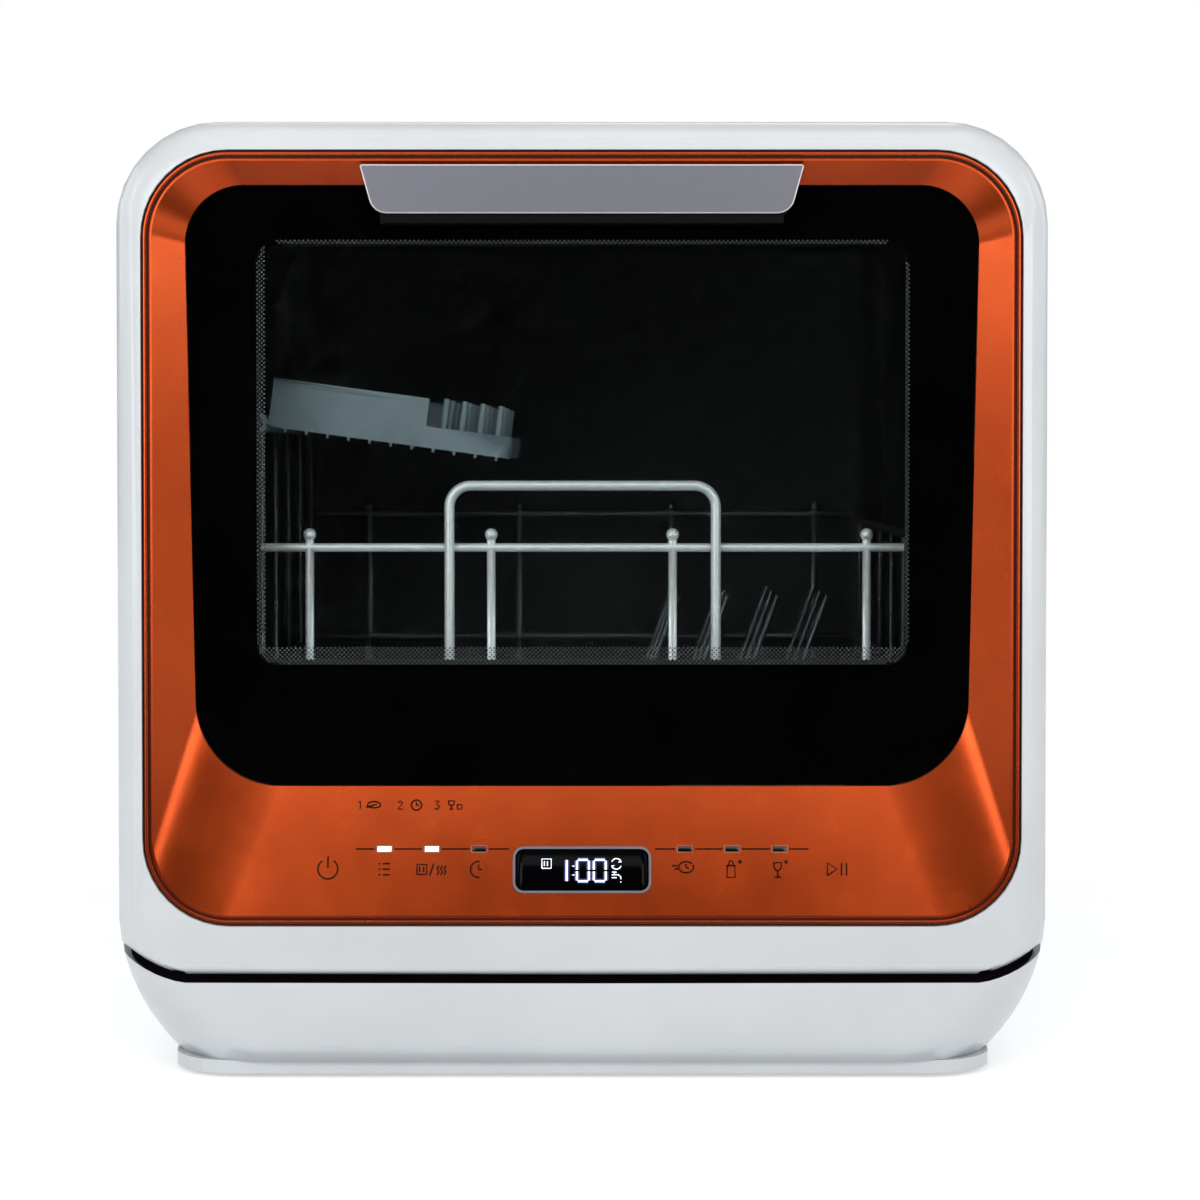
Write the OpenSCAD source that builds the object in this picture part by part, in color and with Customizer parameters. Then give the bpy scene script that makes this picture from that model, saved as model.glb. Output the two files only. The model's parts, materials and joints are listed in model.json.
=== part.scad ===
// Countertop dishwasher with a drop-down glazed front door.
// Millimetres. X to the right, Y to the back, Z up; the origin is under the middle, on the worktop.

/* [Casing] */
// Width of the casing
body_w = 420; // [410:1:450]
// Depth of the casing, front face to back
body_d = 435; // [425:1:460]
// Height of the casing with its feet
body_h = 435; // [425:1:470]
// Wall of the moulded casings
wall = 3; // [2.5:0.1:3.6]
// Radius of the two upper corners, seen from the front
top_r = 46; // [30:1:60]
// Rounding of the front and back edges
edge_r = 14; // [10:1:18]
// Height where the sides begin to curve in towards the plinth
bowl_top = 75; // [70:1:80]
// How far the sides have curved in at the plinth
bowl_inset = 20; // [14:1:26]
// Rounding of the upright corners at the plinth, seen from above
bowl_corner_r = 48; // [40:1:56]
// Height of the top of the plinth
plinth_top = 8; // [7.5:0.5:11]
// Height of the rubber feet under the plinth
foot_h = 2; // [1.5:0.5:4]
// Radius of a rubber foot
foot_r = 14; // [10:1:18]
// Height of the seam between base and cabinet
base_seam_z = 59; // [56:1:62]
// Distance from the back face to the seam of the back panel
back_seam = 22; // [20:1:26]

/* [Door] */
// Height of the door's lower edge
door_bottom = 54.5; // [51:0.5:55]
// Height of the hinge axis
hinge_z = 75; // [73:0.5:77]
// Distance of the hinge axis behind the front face
hinge_back = 15; // [14:0.5:17]
// How much the rolled underside of the door narrows towards the sides
roll_drop = 16.5; // [10:0.1:17]
// Distance from the casing's side to where the rolled underside starts to narrow
roll_run = 36; // [32:1:50]
// Clear gap around the rolled underside
roll_gap = 4.8; // [3:0.1:5.5]
// Gap between the door and the cabinet
seam_gap = 1.5; // [1:0.1:2]
// Radius of the hinge pins
hinge_pin_r = 4; // [3:0.5:5]
// Distance of each hinge arm from the casing's side
hinge_arm_inset = 28; // [26:1:32]

/* [Front panel] */
// Margin of the white frame beside the coloured surround
frame_side = 12.7; // [10:0.1:16]
// Margin of the white frame above the surround
frame_above = 13.7; // [10:0.1:16]
// Height of the surround's lower edge
surround_bottom = 73.3; // [70:0.1:80]
// Corner radius of the surround
surround_r = 39; // [30:1:45]
// Width of the bead round the surround
bead_w = 4.2; // [3:0.1:6]
// Depth of the glass behind the front face
glass_depth = 15; // [13.5:0.5:15.5]
// Distance of the glass from the casing's side, at its top
glass_top_side = 30.1; // [27:0.1:40]
// Distance of the glass from the casing's side, at its bottom
glass_low_side = 35.6; // [30:0.1:45]
// Height of the glass's lower edge
glass_bottom = 134.9; // [130:0.1:140]
// Distance of the glass's upper edge below the top of the casing
glass_top_drop = 28.2; // [26:0.1:34]
// Thickness of the outer glass
glass_t = 4; // [3:0.5:5]
// Wall of the surround
surround_wall = 2.5; // [2:0.1:3]
// Distance of the window from the casing's side
window_side = 62.3; // [57:0.1:70]
// Height of the clear window's lower edge
window_bottom = 189.7; // [185:0.1:200]
// Distance of the window's top below the top of the casing
window_top_drop = 53.3; // [50:0.1:62]
// Thickness of the inner glass
inner_glass_t = 4; // [3:0.5:5]

/* [Handle and controls] */
// Width of the handle plate at its upper edge
handle_w = 199; // [150:1:210]
// Height of the handle plate
handle_h = 21.9; // [18:0.1:26]
// Distance of the handle plate's upper edge below the top
handle_drop = 20.2; // [19:0.1:22]
// Slope of the handle plate's ends, in degrees from upright
handle_slope = 15.7; // [0:0.1:25]
// Thickness of the handle plate
handle_t = 2.5; // [2:0.1:3]
// How far the grip reaches below the handle plate
grip_drop = 4; // [3:0.5:6]
// Width of the display
display_w = 62.4; // [50:0.1:75]
// Height of the display
display_h = 21; // [16:0.1:26]
// Height of the display's middle
display_z = 98; // [94:0.5:102]
// Height of the row of indicator lights
lights_z = 107; // [104:0.5:112]
// Distance of the innermost indicator light from the middle
lights_x = 46.4; // [42:0.1:52]
// Pitch of the indicator lights
lights_pitch = 21.4; // [18:0.1:25]
// Width of an indicator light
light_w = 6.3; // [5:0.1:8]
// Height of an indicator light
light_h = 2.4; // [2:0.1:3]

/* [Tub] */
// Distance from the casing's side to the inside of the tub
tub_side_room = 40; // [38:1:42]
// Height of the tub's floor
tub_floor = 112; // [110:1:116]
// Distance of the tub's ceiling below the top of the casing
tub_top_drop = 30; // [28:1:36]
// Distance from the tub's back wall to the back of the casing
tub_back_room = 67.46; // [67:0.01:72]
// Corner radius inside the tub
tub_r = 20; // [12:1:24]
// Wall of the tub
tub_wall = 2; // [1.5:0.1:2.5]
// Radius of the sump under the tub's floor
sump_r = 36; // [32:1:40]
// Depth of the sump
sump_h = 26; // [20:1:30]
// Reach of the spray arm from its hub
spray_reach = 144; // [120:1:150]
// Radius of the spray arm's bearing pin
spray_pin_r = 6; // [5:0.5:8]

/* [Rack] */
// Distance of the rack's front wires behind the front face
rack_depth_in = 60; // [58:1:66]
// Distance from the tub's back wall to the rack
rack_back_gap = 37.54; // [32:0.01:50]
// Distance from the tub's wall to the middle of the rack's side wires
rack_side_gap = 18; // [17:0.5:20]
// Height of the rack's floor wires
rack_floor_z = 150; // [148:1:154]
// Height of the front's upper wire
rack_front_z = 241.7; // [225:0.1:250]
// Radius of the rack's wires
wire_r = 2; // [1.6:0.1:2.2]
// Radius of the rollers under the rack
roller_r = 9; // [8:0.5:10]
// Width of the rack's handle
rack_handle_w = 124; // [110:1:140]
// Height of the top of the rack's handle
rack_handle_z = 273; // [262:1:280]
// Height of the left side's upper wire, which carries the cutlery tray
tray_wire_z = 300; // [290:1:306]
// Length of the cutlery tray from its wire to its free edge
tray_reach = 118; // [100:1:124]
// Length of the cutlery tray from front to back
tray_len = 176; // [150:1:190]
// Slope of the cutlery tray in degrees
tray_slope = 7.7; // [4:0.1:9]

/* [Hidden] */
$fn = 48;

half_w = body_w / 2;
roll_flat = half_w - roll_run;
hinge_arm_x = half_w - hinge_arm_inset;
front_y = -body_d / 2;
back_y = body_d / 2;
slice = 0.4;
cut = 1;
far = 2 * body_d;
edge_steps = 4;
bowl_steps = 7;
fit = 0.05;
moving_gap = 0.3;
clip_gap = 0.1;

bowl_fall = bowl_top - plinth_top;
bowl_r = (bowl_fall * bowl_fall + bowl_inset * bowl_inset) / (2 * bowl_inset);
plinth_half_w = half_w - bowl_inset - 0.6;
plinth_half_d = body_d / 2 - bowl_inset - 4;
plinth_r = 30;
plinth_rim = 12;
plinth_pad_r = foot_r + 6;
foot_x = plinth_half_w - plinth_r;
foot_y = plinth_half_d - plinth_r;
foot_stud_r = 6;

hinge_y = front_y + hinge_back;
roll_r = norm([hinge_back, hinge_z - door_bottom]);
door_back_y = hinge_y + roll_r;
frame_front_y = door_back_y + seam_gap;
frame_t = 3;
frame_back_y = frame_front_y + frame_t;
back_seam_y = back_y - back_seam;
trough_wall = 2;
roll_steps = 8;

knuckle_r = 9;
arm_t = 4;
arm_bar_h = 8;
arm_slot = 0.4;
knuckle_gap = 1.5;
knuckle_t = 6.5;
arm_leg = 11;

surround_half = half_w - frame_side;
glass_top_half = half_w - glass_top_side;
glass_low_half = half_w - glass_low_side;
window_w = body_w - 2 * window_side;
window_h = body_h - window_top_drop - window_bottom;
surround_top = body_h - frame_above;
rim_y = front_y + 1.5;
glass_y = front_y + glass_depth;
glass_top = body_h - glass_top_drop;
glass_top_r = 27;
glass_low_r = 37.5;
face_low_y = front_y + 2;
face_low_z = surround_bottom + bead_w + 0.7;
panel_tilt = atan((glass_y - face_low_y) / (glass_bottom - face_low_z));

handle_top = body_h - handle_drop;
handle_corner_r = 8;
handle_y = front_y + 1.2;
grip_y = handle_y + handle_t;
grip_wall = 2;
grip_half = handle_w / 2 - handle_h * tan(handle_slope) - 3;
display_r = 5;
display_rim = 1.1;

panel_t = 2.5;
panel_y = door_back_y - panel_t;
window_mid = window_bottom + window_h / 2;
inner_glass_w = window_w + 11;
inner_glass_h = window_h + 8;
seal_w = 5;

tub_half = half_w - tub_side_room;
tub_top = body_h - tub_top_drop;
tub_mid = (tub_floor + tub_top) / 2;
tub_h = tub_top - tub_floor;
tub_back_y = back_y - tub_back_room;
gasket_w = 8;
spray_y = (frame_back_y + tub_back_y) / 2;
sump_y = spray_y - 72;
spray_z = tub_floor + 10;
spray_h = 9;

rack_y = front_y + rack_depth_in;
rack_back_y = tub_back_y - rack_back_gap;
rack_len = rack_back_y - rack_y;
rack_half = tub_half - rack_side_gap;
rack_rim_z = rack_front_z + 6;
roller_w = 7;
roller_x = rack_half + wire_r + 4 + roller_w / 2;
roller_z = rack_floor_z + 10;
runner_z = roller_z + roller_r + moving_gap;
runner_h = 3;
roller_pin_r = 3;
roller_front_y = frame_back_y + 22;
roller_rear_y = roller_front_y + 66;
tray_front_y = rack_y + 8;
post_xs = [-127.5, -42.7, 42, 132.6];
tray_rim_h = 22;
tray_low_rim_h = 9;
tray_floor_t = 2;

tank_t = 40;
tank_half = half_w - 50;
tank_bottom = 140;
tank_top = tub_top - 7;
tank_wall = 3;
tank_y = tub_back_y + tub_wall;
fill_x = half_w - 100;
fill_y = tank_y + tank_t / 2;
fill_bore_r = 12;
collar_w = 66;
collar_front = 38;
collar_back = 15;
cover_t = 3;
cover_pin_r = 1.5;
cover_axis_y = fill_y + collar_back - 5;
cover_barrel_r = 1.8;
cover_axis_z = body_h - cover_barrel_r;
cover_floor_z = cover_axis_z - cover_barrel_r - 0.6;

post_x = half_w - 24;
screw_low_z = 150;
screw_top_z = body_h - 55;
screw_zs = [screw_low_z, (screw_low_z + screw_top_z) / 2, screw_top_z];
screw_r = 2;
screw_post_r = 6;
screw_head_r = 4;
screw_head_t = 1.2;
vent_zs = [body_h - 153, body_h - 109];
vent_pitch = 12;

port_z = 95;
port_inset = 22;
inlet_x = half_w - 100;
inlet_r = 13.2;
drain_x = half_w - 50;
drain_r = 9.5;
gland_x = 70 - half_w;
gland_r = 8;
gland_flange_r = 13;
gland_bore_r = 4.2;
port_y = back_y - port_inset;
port_half = 27;
port_wall = 2.5;
inlet_span = [inlet_x - 28, drain_x + 23];
gland_span = [gland_x - 24, gland_x + 24];

latch_z = body_h - 18;
striker_half = 8;
striker_t = 4;
striker_len = 16;
bolt_r = 3;
bolt_travel = 2;
bolt_low = latch_z + striker_t / 2 + 1.8;

pump_floor = plinth_top + wall;
pump_wall = 3;
volute_w = 24;
riser_r = 9;
impeller_at = 8;
shaft_r = 2;
wash_x = 30;
wash_y = spray_y + 55;
wash_z = 48;
wash_r = 32;
wash_len = 96;
drain_pump_x = 90 - half_w;
drain_pump_r = 24;
drain_z = 42;
drain_len = 62;
filter_r = 20;
fan_x = 115 - half_w;
fan_y = 40;
fan_r = 40;
fan_h = body_h - wall - tub_top - tub_wall - 2;
fan_head_room = 8;
blade_len = 10;
blade_inset = 16;
blade_t = 2;
fan_hub_r = 7;

panel_depth = 4.4;
dispenser_x = 80;
dispenser_z = 148;
dispenser_w = 80;
dispenser_h = 46;
dispenser_cup = 34;
dispenser_depth = 18;
lid_h = dispenser_cup + 4;
lid_y = door_back_y + 1 + moving_gap;
lid_t = 2.2;

rack_mid_z = 183;
floor_pitch = 30;
side_wires = [for (i = [0:4]) rack_y + 18 + i * (rack_len - 36) / 4];
floor_rows = [for (i = [0:5]) rack_y + 22 + i * (rack_len - 44) / 5];

white = "#dfe3e6";
orange = "#a53e19";
black = "#121214";
steel = "#a9adb0";
grey = "#6e7d84";

// Points of an arc round [x, y], from angle a0 to a1.
function arc(x, y, r, a0, a1, n = 8) =
    [for (i = [0:n]) let (a = a0 + (a1 - a0) * i / n) [x + r * cos(a), y + r * sin(a)]];

// An upright outline with two rounded upper corners and a flat lower edge.
function arch(half, low, high, r) = concat(
    [[half, low]],
    arc(half - r, high - r, r, 0, 90),
    arc(-half + r, high - r, r, 90, 180),
    [[-half, low]]
);

// A rectangle with rounded corners, centred on the origin.
function rounded_box(w, h, r, n = 6) = concat(
    arc(w / 2 - r, h / 2 - r, r, 0, 90, n),
    arc(r - w / 2, h / 2 - r, r, 90, 180, n),
    arc(r - w / 2, r - h / 2, r, 180, 270, n),
    arc(w / 2 - r, r - h / 2, r, 270, 360, n)
);

// A trapezium standing on its lower edge, with its upper and lower corners rounded.
function trapezium(low, high, low_z, high_z, low_r, high_r, n = 9) =
    let (lean = atan((high - low) / (high_z - low_z)))
    let (hx = high - high_r / tan(45 - lean / 2), lx = low - low_r / tan(45 + lean / 2))
    concat(
        arc(hx, high_z - high_r, high_r, -lean, 90, n),
        arc(-hx, high_z - high_r, high_r, 90, 180 + lean, n),
        arc(-lx, low_z + low_r, low_r, 180 + lean, 270, n),
        arc(lx, low_z + low_r, low_r, 270, 360 - lean, n)
    );

// How far the side has curved in at a height, and the plan radius there.
function bowl_in(z) = bowl_r - sqrt(bowl_r * bowl_r - pow(max(bowl_top - z, 0), 2));
function bowl_corner(z) = edge_r + (bowl_corner_r - edge_r) * max(bowl_top - z, 0) / bowl_fall;

// Radius of the door's rolled underside at a distance from the middle.
function roll_at(x) = roll_r - roll_drop * pow(max(abs(x) - roll_flat, 0) / (half_w - roll_flat), 2);

// The glass outline, grown by a margin.
function glass_outline(grow) = trapezium(
    glass_low_half + grow, glass_top_half + grow, glass_bottom - grow, glass_top + grow,
    glass_low_r + grow, glass_top_r + grow
);

// A plate lying in the XZ plane, from y0 back to y1.
module plate(y0, y1) {
    translate([0, y1, 0])
        rotate([90, 0, 0])
            linear_extrude(y1 - y0)
                children();
}

// A round bar along X from x0 to x1.
module bar_x(x0, x1, r, y, z) {
    translate([min(x0, x1), y, z])
        rotate([0, 90, 0])
            cylinder(r = r, h = abs(x1 - x0));
}

// A round bar along Y from y0 to y1.
module bar_y(y0, y1, r, x, z) {
    translate([x, y1, z])
        rotate([90, 0, 0])
            cylinder(r = r, h = y1 - y0);
}

// A round bar along Z from z0 to z1.
module bar_z(z0, z1, r, x, y) {
    translate([x, y, z0])
        cylinder(r = r, h = z1 - z0);
}

// A box from one corner to the opposite one.
module box(a, b) {
    translate(a)
        cube(b - a);
}

module both_sides() {
    children();
    mirror([1, 0, 0])
        children();
}

// The outer shape of the whole machine above its plinth, drawn in by t.
module casing_form(t) {
    edge = edge_r - t;
    low = plinth_top + t;
    hull() {
        for (side = [-1, 1], i = [0:edge_steps]) {
            a = 90 * i / edge_steps;
            inset = t + edge * (1 - cos(a));
            translate([0, side * (body_d / 2 - t - edge * (1 - sin(a)) - slice / 2), 0])
                rotate([90, 0, 0])
                    linear_extrude(slice, center = true)
                        polygon(arch(half_w - inset, bowl_top, body_h - inset, top_r - inset));
        }
        for (i = [0:bowl_steps - 1]) {
            z = low + (bowl_top - low) * i / bowl_steps;
            inset = t + bowl_in(z);
            translate([0, 0, z])
                linear_extrude(slice)
                    polygon(rounded_box(body_w - 2 * inset, body_d - 2 * inset, bowl_corner(z) - t));
        }
    }
}

// The solid that the door's underside sweeps round the hinge axis, grown by a gap.
module roll(grow) {
    reach = half_w + cut;
    points = [for (i = [-roll_steps:roll_steps]) roll_flat * sign(i) + (reach - roll_flat) * i / roll_steps];
    translate([0, hinge_y, hinge_z])
        rotate([0, 90, 0])
            rotate_extrude($fn = 72)
                polygon(concat(
                    [[0, -reach]],
                    [for (x = points) [roll_at(min(abs(x), half_w)) + grow, x]],
                    [[0, reach]]
                ));
}

// The space in front of the cabinet that belongs to the door.
module door_space(back, low, grow) {
    box([-far, -far, low], [far, back, far]);
    roll(grow);
}

module body_cut() {
    door_space(frame_front_y, hinge_z - seam_gap / 2, roll_gap);
}

// ---- Base and cabinet ----

module foot_pads() {
    color(black)
        for (x = [-1, 1], y = [-1, 1])
            translate([x * foot_x, y * foot_y, 0]) {
                cylinder(r = foot_r, h = foot_h);
                cylinder(r = foot_stud_r, h = plinth_top - 1);
            }
}

module plinth() {
    color("#b9bdc0")
        translate([0, 0, foot_h])
            difference() {
                linear_extrude(plinth_top - foot_h)
                    difference() {
                        polygon(rounded_box(2 * plinth_half_w, 2 * plinth_half_d, plinth_r));
                        difference() {
                            polygon(rounded_box(
                                2 * (plinth_half_w - plinth_rim), 2 * (plinth_half_d - plinth_rim),
                                plinth_r - plinth_rim
                            ));
                            for (x = [-1, 1], y = [-1, 1])
                                translate([x * foot_x, y * foot_y])
                                    circle(plinth_pad_r);
                        }
                    }
                for (x = [-1, 1], y = [-1, 1])
                    translate([x * foot_x, y * foot_y, -cut])
                        cylinder(r = foot_stud_r, h = plinth_top - foot_h - 1 + cut);
            }
}

module base_tray() {
    color(white)
        difference() {
            intersection() {
                casing_form(0);
                box([-far, -far, 0], [far, far, base_seam_z]);
            }
            casing_form(wall);
            body_cut();
        }
}

module cabinet_shell() {
    color(white)
        difference() {
            intersection() {
                casing_form(0);
                box([-far, -far, base_seam_z], [far, back_seam_y, far]);
            }
            casing_form(wall);
            body_cut();
            box(
                [fill_x - collar_w / 2, fill_y - collar_front, body_h - wall - cut],
                [fill_x + collar_w / 2, fill_y + collar_back, far]
            );
        }
}

// The ribbed posts on the cabinet's side walls that the back panel is screwed to.
module screw_posts() {
    post_front = back_seam_y - 12;
    color(grey)
        both_sides()
            for (z = screw_zs)
                difference() {
                    union() {
                        bar_y(post_front, back_y - wall, screw_post_r, post_x, z);
                        box([post_x, post_front, z - 2], [half_w - wall, back_seam_y, z + 2]);
                    }
                    bar_y(post_front + 2, back_y, screw_r, post_x, z);
                }
}

module back_panel() {
    slot_w = 5;
    slot_h = 32;
    color(white)
        difference() {
            intersection() {
                casing_form(0);
                box([-far, back_seam_y, base_seam_z], [far, far, far]);
            }
            casing_form(wall);
            for (span = [inlet_span, gland_span])
                box([span[0], back_y - 2 * wall, port_z - port_half], [span[1], far, port_z + port_half]);
            both_sides()
                for (z = screw_zs) {
                    bar_y(back_y - 8, back_y + cut, screw_r, post_x, z);
                    bar_y(back_y - screw_head_t, back_y + cut, screw_head_r, post_x, z);
                }
            for (i = [-5:5], z = vent_zs)
                box(
                    [i * vent_pitch - slot_w / 2, back_y - 8, z],
                    [i * vent_pitch + slot_w / 2, far, z + slot_h]
                );
        }
}

module back_screws() {
    color(steel)
        both_sides()
            for (z = screw_zs) {
                bar_y(back_y - wall - 12, back_y - screw_head_t, screw_r, post_x, z);
                bar_y(back_y - screw_head_t, back_y - 0.1, screw_head_r, post_x, z);
            }
}

module front_frame() {
    color(grey)
        difference() {
            intersection() {
                casing_form(wall);
                box([-far, frame_front_y, hinge_z - seam_gap / 2], [far, frame_back_y, far]);
            }
            translate([0, 0, tub_mid])
                plate(frame_front_y - cut, frame_back_y + cut)
                    polygon(rounded_box(2 * tub_half, tub_h, tub_r));
            box([-14, frame_front_y - cut, latch_z - 6], [14, frame_back_y + cut, latch_z + 8]);
        }
}

module hinge_trough() {
    color(black)
        difference() {
            intersection() {
                roll(roll_gap + trough_wall);
                casing_form(wall);
                box([-far, -far, 0], [far, far, hinge_z - seam_gap / 2]);
            }
            roll(roll_gap);
            both_sides()
                box(
                    [hinge_arm_x - arm_t / 2 - arm_slot, hinge_y, hinge_z - arm_bar_h - 1 - arm_slot],
                    [hinge_arm_x + arm_t / 2 + arm_slot, far, hinge_z + cut]
                );
        }
}

module hinge_arm(side) {
    x0 = side * hinge_arm_x - arm_t / 2;
    x1 = x0 + arm_t;
    color(steel)
        difference() {
            union() {
                bar_x(x0, x1, knuckle_r, hinge_y, hinge_z);
                box([x0, hinge_y, hinge_z - arm_bar_h - 1], [x1, frame_back_y + arm_leg, hinge_z - 1]);
                box([x0, frame_back_y, hinge_z - arm_bar_h - 1], [x1, frame_back_y + arm_leg, hinge_z + 30]);
            }
            bar_x(x0 - cut, x1 + cut, hinge_pin_r + fit, hinge_y, hinge_z);
        }
}

module hinge_arm_left() {
    hinge_arm(-1);
}

module hinge_arm_right() {
    hinge_arm(1);
}

// ---- Tub and washing parts ----

module tub() {
    floor_low = tub_floor - tub_wall;
    color(steel)
        difference() {
            union() {
                translate([0, 0, tub_mid])
                    plate(frame_back_y, tub_back_y + tub_wall)
                        polygon(rounded_box(
                            2 * (tub_half + tub_wall), tub_h + 2 * tub_wall, tub_r + tub_wall
                        ));
                bar_z(tub_floor - sump_h - tub_wall, tub_floor, sump_r + tub_wall, 0, sump_y);
            }
            translate([0, 0, tub_mid])
                plate(frame_back_y - cut, tub_back_y)
                    polygon(rounded_box(2 * tub_half, tub_h, tub_r));
            bar_z(tub_floor - sump_h, tub_floor + cut, sump_r, 0, sump_y);
            bar_z(floor_low - cut, tub_floor + cut, spray_pin_r - 1.5, 0, spray_y);
        }
}

module tub_gasket() {
    color(black)
        translate([0, 0, tub_mid])
            plate(door_back_y + moving_gap, frame_front_y)
                difference() {
                    polygon(rounded_box(2 * (tub_half + gasket_w), tub_h + 2 * gasket_w, tub_r + gasket_w));
                    polygon(rounded_box(2 * tub_half + 1, tub_h + 1, tub_r));
                }
}

module coarse_filter() {
    color(steel)
        difference() {
            bar_z(tub_floor - 2, tub_floor, sump_r, 0, sump_y);
            bar_z(tub_floor - 3, tub_floor + cut, filter_r + moving_gap, 0, sump_y);
            for (ring = [0:23])
                rotate_about(sump_y, ring * 15)
                    bar_z(tub_floor - 3, tub_floor + cut, 1.6, filter_r + 8, 0);
        }
}

// Turns what it is given round the upright axis at x = 0 and the given y.
module rotate_about(y, a) {
    translate([0, y, 0])
        rotate([0, 0, a])
            children();
}

module filter_cup() {
    low = tub_floor - sump_h;
    color(grey) {
        difference() {
            bar_z(low + moving_gap, tub_floor + 3, filter_r, 0, sump_y);
            bar_z(low + 3, tub_floor + 3 + cut, filter_r - 2, 0, sump_y);
        }
        box([-filter_r + 1, sump_y - 1.5, tub_floor - 3], [filter_r - 1, sump_y + 1.5, tub_floor + 6]);
    }
}

module spray_hub() {
    color(grey)
        difference() {
            union() {
                bar_z(tub_floor, tub_floor + 3, 18, 0, spray_y);
                bar_z(tub_floor, spray_z - moving_gap, 11, 0, spray_y);
                bar_z(tub_floor, spray_z + spray_h + 1, spray_pin_r, 0, spray_y);
                bar_z(spray_z + spray_h + moving_gap, spray_z + spray_h + 4, spray_pin_r + 4, 0, spray_y);
            }
            bar_z(tub_floor - cut, spray_z + 4, spray_pin_r - 1.5, 0, spray_y);
        }
}

module spray_arm() {
    tip_r = 8;
    color("#c9cdd0")
        translate([0, spray_y, spray_z])
            difference() {
                linear_extrude(spray_h)
                    for (side = [0, 180])
                        rotate(side)
                            polygon(concat(
                                arc(spray_reach - tip_r, 0, tip_r, -84, 84),
                                arc(0, 0, 18, 84, 276)
                            ));
                translate([0, 0, -cut])
                    cylinder(r = spray_pin_r + fit, h = spray_h + 2 * cut);
                for (side = [0, 180], i = [1:5])
                    rotate([0, 0, side])
                        translate([i * spray_reach / 6 + 6, 0, spray_h - 2])
                            cylinder(r = 1.5, h = 2 + cut);
            }
}

module roller_axles() {
    color(steel)
        both_sides()
            for (y = [roller_front_y, roller_rear_y]) {
                bar_x(roller_x - roller_w / 2 - 1.5, tub_half, roller_pin_r, y, roller_z);
                bar_x(
                    roller_x - roller_w / 2 - 2.5, roller_x - roller_w / 2 - moving_gap,
                    roller_pin_r + 2, y, roller_z
                );
                bar_x(roller_x + roller_w / 2 + moving_gap, tub_half, roller_pin_r + 2.5, y, roller_z);
            }
}

module roller(side, y) {
    color(white)
        difference() {
            bar_x(side * (roller_x - roller_w / 2), side * (roller_x + roller_w / 2), roller_r, y, roller_z);
            bar_x(side * (roller_x - roller_w), side * (roller_x + roller_w), roller_pin_r + fit, y, roller_z);
            for (a = [0:60:300])
                translate([0, y, roller_z])
                    rotate([a, 0, 0])
                        bar_x(
                            side * (roller_x - roller_w), side * (roller_x + roller_w),
                            1, 0, (roller_r + roller_pin_r) / 2
                        );
        }
}

module roller_front_left() {
    roller(-1, roller_front_y);
}

module roller_front_right() {
    roller(1, roller_front_y);
}

module roller_rear_left() {
    roller(-1, roller_rear_y);
}

module roller_rear_right() {
    roller(1, roller_rear_y);
}

// ---- Door catch ----

module latch_housing() {
    color(grey)
        difference() {
            box([-12, frame_back_y, latch_z - 8], [12, frame_back_y + 16, body_h - wall]);
            box(
                [-9.5, frame_back_y - cut, latch_z - 5],
                [9.5, frame_back_y + 14, bolt_low + bolt_travel + 1.8]
            );
            bar_z(latch_z, body_h - wall - 1, bolt_r + fit, 0, frame_back_y + 7);
        }
}

module latch_bolt() {
    color(black) {
        bar_z(bolt_low, bolt_low + 7, bolt_r, 0, frame_back_y + 7);
        bar_z(bolt_low + 0.4, bolt_low + 1.6, bolt_r + 1.5, 0, frame_back_y + 7);
    }
}

// ---- Pumps, tank, fan and connections ----

// A pump lying along X: a hollow volute at x0, a motor beyond it and two saddle feet.
module pump(x0, volute_r, motor_r, length, y, z) {
    difference() {
        union() {
            bar_x(x0, x0 + volute_w, volute_r, y, z);
            bar_x(x0 + volute_w, x0 + length, motor_r, y, z);
            for (x = [x0 + 4, x0 + length - 12])
                box([x, y - volute_r * 0.7, pump_floor], [x + 8, y + volute_r * 0.7, z]);
        }
        bar_x(x0 + pump_wall, x0 + volute_w - pump_wall, volute_r - pump_wall, y, z);
    }
    bar_x(x0 + impeller_at, x0 + volute_w - 2, shaft_r, y, z);
}

module impeller(x0, r, y, z) {
    low = x0 + impeller_at;
    difference() {
        union() {
            bar_x(low, low + 2, r, y, z);
            bar_x(low, low + 9, shaft_r + 3, y, z);
            for (a = [0:60:300])
                translate([low, y, z])
                    rotate([a, 0, 0])
                        box([0, -1, shaft_r + 2], [8, 1, r - 1]);
        }
        bar_x(low - cut, low + 9 + cut, shaft_r + fit, y, z);
    }
}

module wash_pump() {
    color(grey) {
        pump(wash_x, wash_r, wash_r - 7, wash_len, wash_y, wash_z);
        bar_z(wash_z + wash_r - 1, tub_floor - tub_wall, riser_r, wash_x + volute_w / 2, wash_y);
    }
}

module wash_impeller() {
    color(white)
        impeller(wash_x, wash_r - 6, wash_y, wash_z);
}

module drain_pump() {
    color(grey) {
        pump(drain_pump_x, drain_pump_r, drain_pump_r - 6, drain_len, sump_y, drain_z);
        bar_z(drain_z + drain_pump_r - 1, tub_floor - tub_wall, 7, drain_pump_x + volute_w / 2, sump_y);
    }
}

module drain_impeller() {
    color(white)
        impeller(drain_pump_x, drain_pump_r - 6, sump_y, drain_z);
}

module water_tank() {
    color("#d9dfe0")
        difference() {
            union() {
                box([-tank_half, tank_y, tank_bottom], [tank_half, tank_y + tank_t, tank_top]);
                bar_z(tank_top - 1, cover_floor_z - 3, fill_bore_r + 3, fill_x, fill_y);
            }
            box(
                [-tank_half + tank_wall, tank_y + tank_wall, tank_bottom + tank_wall],
                [tank_half - tank_wall, tank_y + tank_t - tank_wall, tank_top - tank_wall]
            );
            bar_z(tank_top - tank_wall - cut, body_h, fill_bore_r, fill_x, fill_y);
        }
}

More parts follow.
